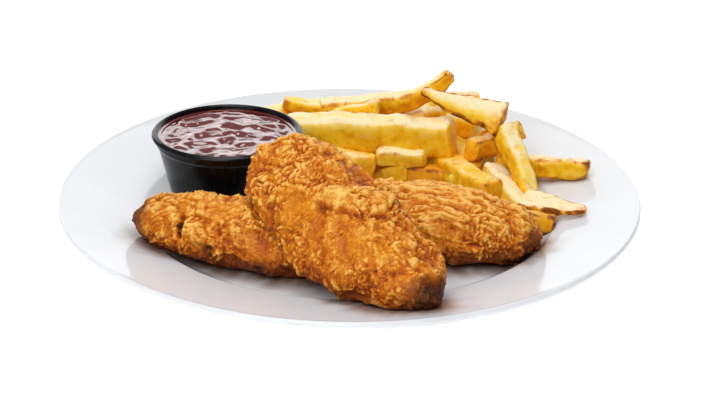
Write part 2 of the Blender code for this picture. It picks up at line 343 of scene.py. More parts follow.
def open_sky(piece: bpy.types.Object, reach: float) -> np.ndarray:
    """How much of the space above each point of a piece is free of the piece itself.

    Args:
        piece: The piece.
        reach: How far off the piece still counts, in metres.

    Returns:
        A share from 0 to 1 for each point.
    """
    points, normals = points_of(piece)
    tree = BVHTree.FromObject(piece, bpy.context.evaluated_depsgraph_get())
    ways = [(0.0, 0.0, 1.0)] + [(0.8 * math.cos(turn), 0.8 * math.sin(turn), 0.6) for turn in turns(6)]
    free = np.zeros(len(points))
    for way in ways:
        ahead = Vector(way)
        facing = normals @ np.array(way) > 0.05
        starts = points + normals * 0.3 * MM
        for number in np.flatnonzero(facing):
            if tree.ray_cast(Vector(starts[number]), ahead, reach)[0] is None:
                free[number] += 1
    return averaged(piece, free / len(ways), 3)


def tube_faces(rings: int, sides: int) -> tuple[np.ndarray, np.ndarray]:
    """The faces of a closed tube whose points are a pole, its rings and the other pole.

    Args:
        rings: How many rings.
        sides: How many points each ring has.

    Returns:
        The quads between the rings and the triangles at the poles.
    """
    here = np.arange(sides)
    then = (here + 1) % sides
    start = 1 + np.arange(rings - 1)[:, None] * sides
    quads = np.stack([start + here, start + then, start + sides + then, start + sides + here], axis=2)
    last = 1 + (rings - 1) * sides
    first_cap = np.stack([np.zeros(sides, int), then + 1, here + 1], axis=1)
    last_cap = np.stack([np.full(sides, last + sides), last + here, last + then], axis=1)
    return quads.reshape(-1, 4), np.vstack([first_cap, last_cap])


def turns(count: int) -> np.ndarray:
    """Angles spread evenly round a circle."""
    return np.arange(count) * math.tau / count


def lathe(profile: np.ndarray, sides: int, at: tuple[float, float] = (0.0, 0.0)) -> np.ndarray:
    """The points of a turned body: the profile's first point, its rings and its last point.

    Args:
        profile: Distance from the axis and height of each ring; the first and last are on the axis.
        sides: How many points each ring has.
        at: Where the axis stands.

    Returns:
        The points, as tube_faces counts them.
    """
    turn = turns(sides)
    circle = np.stack([np.cos(turn), np.sin(turn)], axis=1)
    rings = [np.column_stack([circle * r + np.array(at), np.full(sides, z)]) for r, z in profile[1:-1]]
    ends = [np.array([[at[0], at[1], profile[k][1]]]) for k in (0, -1)]
    return np.vstack([ends[0], *rings, ends[1]])


def filled_in(corners: list[tuple[float, float]], step: float, bend: float) -> np.ndarray:
    """A profile with its corners rounded and its straights cut into steps.

    Args:
        corners: The corners in mm, as distance from the axis and height.
        step: The longest step along it in mm.
        bend: How far each corner is rounded back in mm.

    Returns:
        The profile in metres.
    """
    rough = np.array(corners, float)
    rounded = [rough[0]]
    for a, b, c in zip(rough, rough[1:], rough[2:]):
        back, ahead = np.linalg.norm(a - b), np.linalg.norm(c - b)
        reach = min(bend, back * 0.45, ahead * 0.45)
        start, end = b + (a - b) / back * reach, b + (c - b) / ahead * reach
        for u in np.linspace(0, 1, 6):
            rounded.append((1 - u) ** 2 * start + 2 * u * (1 - u) * b + u**2 * end)
    rounded.append(rough[-1])
    made = [rounded[0]]
    for a, b in zip(rounded, rounded[1:]):
        cuts = max(1, math.ceil(np.linalg.norm(b - a) / step))
        made += [a + (b - a) * k / cuts for k in range(1, cuts + 1)]
    return np.array(made) * MM


# ---- Finishes ----

class NodeSketch:
    """A material's nodes, with short calls for the ones that the finishes use."""

    def __init__(self, name: str) -> None:
        """Makes a material with nothing but its shader and its output.

        Args:
            name: The material's name.
        """
        self.material = bpy.data.materials.new(name)
        self.material.use_nodes = True
        self.tree = self.material.node_tree
        self.shader = self.tree.nodes["Principled BSDF"]
        self.place = self.tree.nodes.new("ShaderNodeTexCoord").outputs["Object"]

    def set(self, **constants: float | tuple) -> None:
        """Sets the shader's own sockets, named with _ for a space."""
        for name, value in constants.items():
            self.shader.inputs[name.replace("_", " ")].default_value = value

    def feed(self, name: str, source: Socket) -> None:
        """Links a source to one of the shader's sockets."""
        self.tree.links.new(source, self.shader.inputs[name])

    def _node(
        self, kind: str, inputs: dict[str | int, Socket | float | tuple], **settings: str | bool
    ) -> bpy.types.Node:
        """A new node.

        Args:
            kind: The end of its type's name, after ShaderNode.
            inputs: What each input is linked or set to.
            settings: The node's own settings.

        Returns:
            The node.
        """
        node = self.tree.nodes.new(f"ShaderNode{kind}")
        for name, value in settings.items():
            setattr(node, name, value)
        for key, value in inputs.items():
            if isinstance(value, Socket):
                self.tree.links.new(value, node.inputs[key])
            else:
                node.inputs[key].default_value = value
        return node

    def mark(self, name: str) -> Socket:
        """The value that set_mark wrote under this name."""
        return self._node("Attribute", {}, attribute_name=name).outputs["Fac"]

    def stretched(self, scale: Place) -> Socket:
        """The place on the object, stretched by a factor along each axis."""
        return self._node("Mapping", {"Scale": scale, "Vector": self.place}).outputs["Vector"]

    def noise(self, size: float, detail: float = 3.0, place: Socket | None = None) -> Socket:
        """Soft noise.

        Args:
            size: The width of its features in metres.
            detail: How many finer layers it has.
            place: Where it is read, or the place on the object.

        Returns:
            Its value, mostly 0.3 to 0.7.
        """
        inputs = {"Scale": 1 / size, "Detail": detail, "Vector": place or self.place}
        return self._node("TexNoise", inputs).outputs["Fac"]

    def cells(self, size: float) -> Socket:
        """The distance to the nearest of scattered spots, in cells that are size metres wide."""
        return self._node("TexVoronoi", {"Scale": 1 / size, "Vector": self.place}).outputs["Distance"]

    def math(self, operation: str, a: Socket | float, b: Socket | float = 0.0, clamp: bool = False) -> Socket:
        """One sum, product or other operation.

        Args:
            operation: The Math node's operation.
            a: Its first value.
            b: Its second value.
            clamp: Whether the result stays between 0 and 1.

        Returns:
            The result.
        """
        return self._node("Math", {0: a, 1: b}, operation=operation, use_clamp=clamp).outputs[0]

    def spread(self, source: Socket, old: tuple[float, float], new: tuple[float, float]) -> Socket:
        """A value moved from one range to another, without leaving it.

        Args:
            source: The value.
            old: The range that it comes from.
            new: The range that it goes to.

        Returns:
            The moved value.
        """
        inputs = {"Value": source, "From Min": old[0], "From Max": old[1], "To Min": new[0], "To Max": new[1]}
        return self._node("MapRange", inputs).outputs["Result"]

    def ramp(self, source: Socket, stops: tuple[tuple[float, Colour], ...]) -> Socket:
        """A row of colours.

        Args:
            source: Where along the row, 0 to 1.
            stops: Each colour with its place.

        Returns:
            The colour.
        """
        node = self._node("ValToRGB", {"Fac": source})
        row = node.color_ramp.elements
        for k, (place, colour) in enumerate(stops):
            stop = row[k] if k < 2 else row.new(place)
            stop.position = place
            stop.color = (*colour, 1.0)
        return node.outputs["Color"]

    def mix(self, share: Socket | float, a: Socket | Colour, b: Socket | Colour) -> Socket:
        """Two colours mixed.

        Args:
            share: How much of the second.
            a: The first colour.
            b: The second colour.

        Returns:
            The colour.
        """
        colours = {key: value if isinstance(value, Socket) else (*value, 1.0) for key, value in ((6, a), (7, b))}
        return self._node("Mix", {0: share, **colours}, data_type="RGBA").outputs[2]

    def layered(self, skin: Socket, browned: Socket, layers: tuple[tuple[float, float, float, Colour], ...]) -> Socket:
        """Browner colours laid over a skin, one after the other.

        Args:
            skin: The colour underneath.
            browned: How browned each place is.
            layers: Where each layer begins and is full, its share of the colour when full, and its colour.

        Returns:
            The colour.
        """
        for begins, full, share, colour in layers:
            skin = self.mix(self.spread(browned, (begins, full), (0, share)), skin, colour)
        return skin

    def bump(self, height: Socket, depth: float, strength: float = 1.0, under: Socket | None = None) -> Socket:
        """Fine relief for the shader.

        Args:
            height: The relief, 0 to 1.
            depth: How deep it is in metres.
            strength: How much of it shows.
            under: Relief that this lies on.

        Returns:
            The normal.
        """
        inputs = {"Strength": strength, "Distance": depth, "Height": height}
        if under is not None:
            inputs["Normal"] = under
        return self._node("Bump", inputs).outputs["Normal"]


@dataclass(frozen=True)
class PorcelainFinish:
    """White glaze over porcelain, with faint clouding, a trace of wave in its gloss, and a dark brown mark round the
    tenders that is partly frying oil and partly painted contact shadow.
    """

    glaze: Colour = (0.775, 0.795, 0.825)
    cloud: Colour = (0.75, 0.77, 0.80)
    oil: Colour = (0.22, 0.10, 0.04)

    def make(self) -> bpy.types.Material:
        """The material."""
        sketch = NodeSketch("porcelain_glaze")
        clouding = sketch.spread(sketch.noise(22 * MM, 4), (0.35, 0.65), (0, 1))
        clean = sketch.mix(clouding, self.glaze, self.cloud)
        # Dark brown near the tenders' feet: partly frying oil, partly painted contact shadow.
        sketch.feed("Base Color", sketch.mix(sketch.mark("oily"), clean, self.oil))
        sketch.feed("Roughness", sketch.spread(sketch.noise(7 * MM, 3), (0.3, 0.7), (0.07, 0.12)))
        wave = sketch.bump(sketch.noise(9 * MM, 2), 0.06 * MM, 0.25)
        sketch.feed("Normal", sketch.bump(sketch.noise(0.9 * MM, 2), 0.01 * MM, 0.2, wave))
        sketch.set(IOR=1.37)
        return sketch.material


@dataclass(frozen=True)
class PlasticFinish:
    """Black moulded plastic with a soft gloss, flow clouding, fine tooling rings and small scuffs."""

    body: Colour = (0.0035, 0.0035, 0.004)
    scuffed: Colour = (0.012, 0.012, 0.014)

    def make(self) -> bpy.types.Material:
        """The material."""
        sketch = NodeSketch("black_moulded_plastic")
        scuffs = sketch.spread(sketch.noise(1.6 * MM, 6, sketch.stretched((1, 1, 0.2))), (0.58, 0.72), (0, 1))
        sketch.feed("Base Color", sketch.mix(scuffs, self.body, self.scuffed))
        flow = sketch.spread(sketch.noise(8 * MM, 4, sketch.stretched((1, 1, 0.35))), (0.3, 0.7), (0.10, 0.2))
        sketch.feed("Roughness", sketch.math("ADD", flow, sketch.math("MULTIPLY", scuffs, 0.12)))
        rings = sketch.bump(sketch.noise(0.6 * MM, 2, sketch.stretched((0.04, 0.04, 1))), 0.012 * MM, 0.5)
        sketch.feed("Normal", sketch.bump(sketch.noise(0.35 * MM, 2), 0.02 * MM, 0.35, rings))
        sketch.set(IOR=1.5, Specular_IOR_Level=0.22)
        return sketch.material


@dataclass(frozen=True)
class SauceFinish:
    """Thick glossy barbecue sauce: dark red-brown, painted darker in its hollows as painted shade and lighter on its
    raised parts, with ground spice in it.
    """

    deep: Colour = (0.12, 0.0075, 0.005)
    raised_tone: Colour = (0.17, 0.018, 0.012)
    speck: Colour = (0.02, 0.004, 0.003)

    def make(self) -> bpy.types.Material:
        """The material."""
        sketch = NodeSketch("barbecue_sauce")
        uneven = sketch.spread(sketch.noise(3 * MM, 4), (0.3, 0.7), (-0.2, 0.2))
        high = sketch.math("ADD", sketch.mark("rise"), uneven)
        # Painted shade: the low parts of the top get the darker colour, the raised parts the lighter one.
        body = sketch.ramp(high, ((0.1, self.deep), (0.9, self.raised_tone)))
        specks = sketch.spread(sketch.cells(1.5 * MM), (0.12, 0.2), (1, 0))
        shown = sketch.math("MULTIPLY", specks, sketch.spread(sketch.noise(4 * MM, 2), (0.5, 0.56), (0, 1)))
        sketch.feed("Base Color", sketch.mix(shown, body, self.speck))
        sketch.feed("Roughness", sketch.spread(sketch.noise(2.5 * MM, 3), (0.35, 0.65), (0.09, 0.2)))
        sketch.feed("Normal", sketch.bump(sketch.noise(1.6 * MM, 2), 0.08 * MM, 0.12))
        sketch.set(IOR=1.6, Coat_Weight=1.0, Coat_Roughness=0.11, Coat_IOR=1.8)
        return sketch.material


@dataclass(frozen=True)
class CrustFinish:
    """Fried crust: painted shade darkens its creases and underside, orange gold on its faces, painted light makes its
    crests and upward faces pale gold, burnt in spots.
    """

    crease: Colour = (0.24, 0.042, 0.003)
    amber: Colour = (0.47, 0.098, 0.003)
    gold: Colour = (0.68, 0.222, 0.006)
    crest: Colour = (0.92, 0.55, 0.12)
    honey: Colour = (0.76, 0.30, 0.006)
    toasted: Colour = (0.22, 0.048, 0.003)
    burnt: Colour = (0.030, 0.011, 0.006)

    def make(self) -> bpy.types.Material:
        """The material."""
        sketch = NodeSketch("fried_crust")
        grit = sketch.spread(sketch.noise(0.8 * MM, 5), (0.3, 0.7), (-0.14, 0.14))
        patch = sketch.spread(sketch.noise(6 * MM, 4), (0.3, 0.7), (-0.15, 0.15))
        level = sketch.math("ADD", sketch.math("ADD", sketch.mark("rise"), grit), patch, clamp=True)
        # The rise mark paints light and shade: the dark crease colour is painted shade, the pale crest colour a
        # painted highlight on crests and upward faces.
        stops = ((0.08, self.crease), (0.34, self.amber), (0.62, self.gold), (0.95, self.crest))
        skin = sketch.ramp(level, stops)
        skin = sketch.mix(sketch.mark("honey"), skin, self.honey)
        # The toast mark holds real burnt spots plus painted shade on the underside and in creases.
        browned = sketch.math("ADD", sketch.mark("toast_and_shade"), sketch.math("MULTIPLY", grit, 1.5), clamp=True)
        layers = ((0.08, 0.6, 0.92, self.toasted), (0.6, 1.0, 0.9, self.burnt))
        sketch.feed("Base Color", sketch.layered(skin, browned, layers))
        sketch.feed("Roughness", sketch.spread(sketch.noise(3.5 * MM, 4), (0.35, 0.65), (0.34, 0.62)))
        grain = sketch.bump(sketch.noise(0.6 * MM, 4), 0.2 * MM, 0.55)
        sketch.feed("Normal", sketch.bump(sketch.cells(0.9 * MM), 0.12 * MM, 0.35, grain))
        sketch.set(IOR=1.46, Specular_IOR_Level=0.18)
        sketch.set(Subsurface_Weight=0.12, Subsurface_Radius=(1.0, 0.42, 0.1), Subsurface_Scale=1.2 * MM)
        return sketch.material


@dataclass(frozen=True)
class PotatoFinish:
    """Fried potato: yellow sides, upper faces made pale as painted light, amber as painted shade deep in the heap, and
    brown at thin edges and ends.
    """

    amber: Colour = (0.82, 0.32, 0.004)
    yellow: Colour = (0.98, 0.57, 0.012)
    butter: Colour = (0.98, 0.70, 0.14)
    pale: Colour = (0.97, 0.81, 0.50)
    toffee: Colour = (0.78, 0.30, 0.012)
    tan: Colour = (0.44, 0.13, 0.012)
    brown: Colour = (0.19, 0.06, 0.014)

    def make(self) -> bpy.types.Material:
        """The material."""
        sketch = NodeSketch("fried_potato")
        cloud = sketch.spread(sketch.noise(4.5 * MM, 5), (0.3, 0.7), (-0.15, 0.15))
        fleck = sketch.spread(sketch.noise(1.3 * MM, 4), (0.3, 0.7), (-0.07, 0.07))
        level = sketch.math("ADD", sketch.math("ADD", sketch.mark("pale"), cloud), fleck, clamp=True)
        # Low pale values give amber as painted shade, high ones the pale colour of lit tops as painted light.
        stops = ((0.0, self.amber), (0.22, self.yellow), (0.58, self.butter), (0.92, self.pale))
        skin = sketch.ramp(level, stops)
        browned = sketch.math("ADD", sketch.mark("brown"), sketch.math("MULTIPLY", fleck, 1.2), clamp=True)
        crisped = sketch.spread(sketch.noise(3.2 * MM, 6), (0.56, 0.74), (0, 0.26))
        browned = sketch.math("ADD", browned, crisped, clamp=True)
        layers = ((0.05, 0.3, 0.75, self.toffee), (0.28, 0.6, 0.9, self.tan), (0.55, 0.95, 0.9, self.brown))
        sketch.feed("Base Color", sketch.layered(skin, browned, layers))
        sketch.feed("Roughness", sketch.spread(sketch.noise(4 * MM, 4), (0.35, 0.65), (0.3, 0.5)))
        grain = sketch.bump(sketch.noise(1.4 * MM, 4), 0.2 * MM, 0.6)
        sketch.feed("Normal", sketch.bump(sketch.noise(0.4 * MM, 2), 0.04 * MM, 0.4, grain))
        sketch.set(IOR=1.45, Specular_IOR_Level=0.13)
        sketch.set(Subsurface_Weight=0.25, Subsurface_Radius=(1.0, 0.55, 0.06), Subsurface_Scale=3 * MM)
        return sketch.material


@dataclass(frozen=True)
class FloorFinish:
    """A pale lit table top with the faintest mottling."""

    light: Colour = (0.95, 0.95, 0.95)
    mottle: Colour = (0.93, 0.93, 0.93)

    def make(self) -> bpy.types.Material:
        """The material."""
        sketch = NodeSketch("pale_floor")
        colour = sketch.mix(sketch.noise(60 * MM, 3), self.light, self.mottle)
        sketch.feed("Base Color", colour)
        sketch.feed("Emission Color", colour)
        sketch.set(Roughness=0.9, Emission_Strength=0.6)
        return sketch.material


# ---- Plate, pot and sauce ----


def frame_solids() -> dict[str, bpy.types.Object]:
    """The frame's solids by name."""
    return {o["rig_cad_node"]: o for o in bpy.context.scene.objects if "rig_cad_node" in o}


def placed(piece: bpy.types.Object, node: str) -> bpy.types.Object:
    """Puts a piece in the place of a solid of the frame.

    Args:
        piece: The piece.
        node: The solid that it stands for.

    Returns:
        The piece.
    """
    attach(piece, "root")
    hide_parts(node)
    LOG.info("%s: %d points, stands for %s", piece.name, len(piece.data.vertices), node)
    return piece


def turned(
    name: str, points: np.ndarray, sides: int, finish: bpy.types.Material, **marks: np.ndarray
) -> bpy.types.Object:
    """A turned piece.

    Args:
        name: Its name.
        points: Its points, in lathe's order.
        sides: How many points each ring has.
        finish: Its material.
        marks: Named values, one for each point.

    Returns:
        The piece.
    """
    sketch = MeshSketch()
    sketch.add(points, *tube_faces((len(points) - 2) // sides, sides), marks)
    piece = sketch.make(name)
    piece.data.materials.append(finish)
    return piece


@dataclass
class Plate:
    """The porcelain plate: a shallow well, a wide sloping rim with a rolled lip, and a foot ring. Sizes in mm.

    Frying oil and a painted contact shadow darken the glaze round the parts of the tenders that come close to it.
    """

    radius: float = 116.0
    height: float = 20.0
    well_radius: float = 83.0
    well_edge_height: float = 12.2
    floor_radius: float = 74.0
    floor_height: float = 7.0
    rim_thickness: float = 3.8
    under_height: float = 4.2
    foot_radius: float = 66.0
    oil_shadow_under: float = 2.5
    oil_shadow_reach: float = 6.0
    oil_shadow_strength: float = 0.92
    sides: int = 288

    def top(self, radius: np.ndarray) -> np.ndarray:
        """The height of the upper face in mm at distances from the middle in mm."""
        wall = np.clip((radius - self.floor_radius) / (self.well_radius - self.floor_radius), 0, 1) ** 1.6
        slope = (self.height - self.well_edge_height) / (self.radius - self.well_radius)
        rim = np.clip(radius - self.well_radius, 0, None) * slope
        return self.floor_height + (self.well_edge_height - self.floor_height) * wall + rim

    def profile(self) -> np.ndarray:
        """The plate's outline from the middle of its top, round the lip and the foot, to the middle below."""
        r, h, foot = self.radius, self.height, self.foot_radius
        under = h - self.rim_thickness
        slope = [*np.linspace(self.floor_radius, self.well_radius, 8), r - 14, r - 2.6]
        upper = [(0, self.floor_height), (40, self.floor_height)] + [(out, float(self.top(out))) for out in slope]
        lip = [(r - 1, h - 0.02), (r - 0.02, h - 1.1), (r - 0.3, h - 2.6)]
        lip += [(r - 1.4, under + 0.1), (r - 3.4, under - 0.7)]
        below = [
            (self.well_radius + 4, self.well_edge_height - self.rim_thickness),
            (self.floor_radius + 2, self.under_height),
            (foot + 2, 2.6), (foot, 0), (foot - 3.5, 0), (foot - 5.5, 2.4), (0, 2.6),
        ]
        return filled_in(upper + lip + below, 2.4, 0.9)

    def _oily(self, points: np.ndarray) -> np.ndarray:
        """How dark each point of the plate is made near the tenders: partly frying oil, partly painted contact shadow.
        """
        low = []
        for node in ("tender_left", "tender_centre", "tender_right"):
            crust, _ = points_of(frame_solids()[node])
            height = crust[:, 2] / MM - self.top(np.hypot(crust[:, 0], crust[:, 1]) / MM)
            low.append(crust[height < self.oil_shadow_under])
        feet = np.vstack(low)
        tree = KDTree(len(feet))
        for number, foot in enumerate(feet):
            tree.insert(foot, number)
        tree.balance()
        away = np.array([tree.find(point)[2] for point in points]) / MM
        wander = 1 + 0.5 * Grain(19).layers(points, 6 * MM, 2)
        upper = points[:, 2] > self.under_height * MM
        return self.oil_shadow_strength * np.exp(-((away / (self.oil_shadow_reach * wander)) ** 2)) * upper

    def build(self) -> bpy.types.Object:
        """Builds the plate in the place of its solid.

        Returns:
            The plate.
        """
        points = lathe(self.profile(), self.sides)
        plate = turned("plate_glazed", points, self.sides, PorcelainFinish().make(), oily=self._oily(points))
        return placed(plate, "plate")


def above_plate(points: np.ndarray, gap: float) -> np.ndarray:
    """The points, lifted where they are less than gap over the plate's upper face.

    Args:
        points: The points in metres.
        gap: The least height over the plate in mm.

    Returns:
        The points in metres.
    """
    lifted = points.copy()
    least = Plate().top(np.hypot(points[:, 0], points[:, 1]) / MM) + gap
    lifted[:, 2] = np.maximum(points[:, 2], least * MM)
    return lifted


@dataclass
class SaucePot:
    """The portion pot: tapered, with a stepped band and a rolled lip. Sizes in mm."""

    at: tuple[float, float] = (-49.6, 15.2)
    base: float = 7.4
    height: float = 31.0
    top_radius: float = 30.5
    base_radius: float = 22.5
    wall: float = 1.1
    lip: float = 1.5
    band: float = 4.2
    sides: int = 192

    @property
    def wall_radius(self) -> float:
        """The outer radius of the band under the lip."""
        return self.top_radius - self.lip

    def profile(self) -> np.ndarray:
        """The pot's outline from the middle of its floor, over the lip, to the middle underneath."""
        base, foot, rim, side = self.base, self.base_radius, self.top_radius, self.wall_radius
        top, inner, wall = base + self.height, side - self.wall, self.wall
        band = top - self.band
        taper = (side - 0.8 - foot) / (band - base)
        inside = [
            (0, base + wall), (foot - wall - 1, base + wall), (foot - wall + taper * 2, base + 3),
            (inner - 0.9, band - 0.6), (inner, band + 0.4), (inner, top - 0.6),
        ]
        lip = [
            (inner + 0.25, top - 0.3), (inner + 0.75, top - 0.02), (inner + 1.15, top - 0.02),
            (rim - 0.55, top - 0.45), (rim, top - 1), (rim, top - 1.7), (rim - 0.5, top - 1.95),
            (side + 0.1, top - 1.95),
        ]
        outside = [
            (side, top - 2.4), (side, band), (side - 0.9, band - 1), (foot + 0.35, base + 2.6),
            (foot + 0.1, base + 2.2), (foot, base + 0.8), (foot - 0.8, base), (0, base),
        ]
        return filled_in(inside + lip + outside, 1.3, 0.35)

    def build(self) -> bpy.types.Object:
        """Builds the pot in the place of its solid.

        Returns:
            The pot.
        """
        points = lathe(self.profile(), self.sides, (self.at[0] * MM, self.at[1] * MM))
        pot = turned("sauce_pot_moulded", points, self.sides, PlasticFinish().make())
        return placed(pot, "sauce_pot")


@dataclass
class Sauce:
    """The barbecue sauce, with a stirred and lumpy top, reaching just into the pot's wall. Sizes in mm."""

    pot: SaucePot
    below_lip: float = 2.4
    heap: float = 1.4
    bite: float = 0.12
    rings: int = 150
    sides: int = 230
    seed: int = 41
    drift: float = 1.8
    waves: Waves = ((14.0, 0.5, 12.5), (8.0, 1.75, 1.9), (3.6, 0.34, 6.1), (1.7, 0.07, 16.1))

    def relief(self, points: np.ndarray, share: np.ndarray) -> np.ndarray:
        """How far the top stands above its level in mm.

        Args:
            points: Places on the top in mm.
            share: How far out each is, from 0 in the middle to 1 at the wall.

        Returns:
            The heights.
        """
        grain = Grain(self.seed)
        flat = points * np.array([0.95, 1.15, 0.0])
        drift = np.stack([grain.smooth(flat, 9, 3.1), grain.smooth(flat, 9, 8.7), np.zeros(len(flat))], axis=1)
        stirred = grain.summed(flat + drift * self.drift, self.waves)
        calm = 1 - eased(share, 0.86, 0.94)
        return self.heap * (1 - share**2) + (stirred - 0.3) * calm

    def build(self) -> bpy.types.Object:
        """Builds the sauce in the place of its solid.

        Returns:
            The sauce.
        """
        pot = self.pot
        level = pot.base + pot.height - self.below_lip
        inner = pot.wall_radius - pot.wall
        sides = [
            (pot.base_radius - pot.wall - 1.4, pot.base + pot.wall + 0.35),
            (pot.base_radius - pot.wall - 0.1, pot.base + 3.4),
            (inner - 0.9 + self.bite, pot.base + pot.height - pot.band - 0.8),
            (inner + self.bite, pot.base + pot.height - pot.band + 0.6),
        ]
        shares = np.concatenate([[1.0, 0.995, 0.985], np.linspace(0.97, 0.006, self.rings)])
        top = [(share * (inner + self.bite), level) for share in shares]
        profile = np.array([(0, pot.base + pot.wall + 0.35), *sides, *top, (0, level)]) * MM
        points = lathe(profile, self.sides, (pot.at[0] * MM, pot.at[1] * MM)) / MM
        away = np.hypot(points[:, 0] - pot.at[0], points[:, 1] - pot.at[1]) / (inner + self.bite)
        upper = np.abs(points[:, 2] - level) < 1e-6
        rise = np.where(upper, self.relief(points, away), 0.0)
        climb = np.where(upper, 0.5 * eased(away, 0.96, 1.0), 0.0)
        points[:, 2] += rise + climb
        # How high each point of the top stands, which the finish turns into painted shade in the hollows.
        height = np.clip(0.5 + (rise - self.heap * 0.6) / 3.2, 0, 1)
        sauce = turned("barbecue_sauce_poured", points * MM, self.sides, SauceFinish().make(), rise=height)
        return placed(sauce, "sauce")


# ---- Tenders ----


@dataclass(frozen=True)
class Spot:
    """A spot on a tender in mm, its reach and how strong its mark is there."""

    at: Place
    reach: float
    strength: float = 1.0


@dataclass(frozen=True)
class Fold:
    """A crease or a ridge along a line, or a dent or a swelling round one point. Sizes in mm."""

    path: tuple[Place, ...]
    width: float
    height: float

    def rise(self, points: np.ndarray) -> np.ndarray:
        """How far it lifts or sinks points given in mm."""
        nearest = np.full(len(points), 1e6)
        for a, b in zip(self.path, self.path[1:] or self.path):
            start, reach = np.array(a, float), np.array(b, float) - np.array(a, float)
            share = np.clip((points - start) @ reach / max(reach @ reach, 1e-9), 0, 1)
            nearest = np.minimum(nearest, np.linalg.norm(points - start - share[:, None] * reach, axis=1))
        return self.height * np.exp(-((nearest / self.width) ** 2))


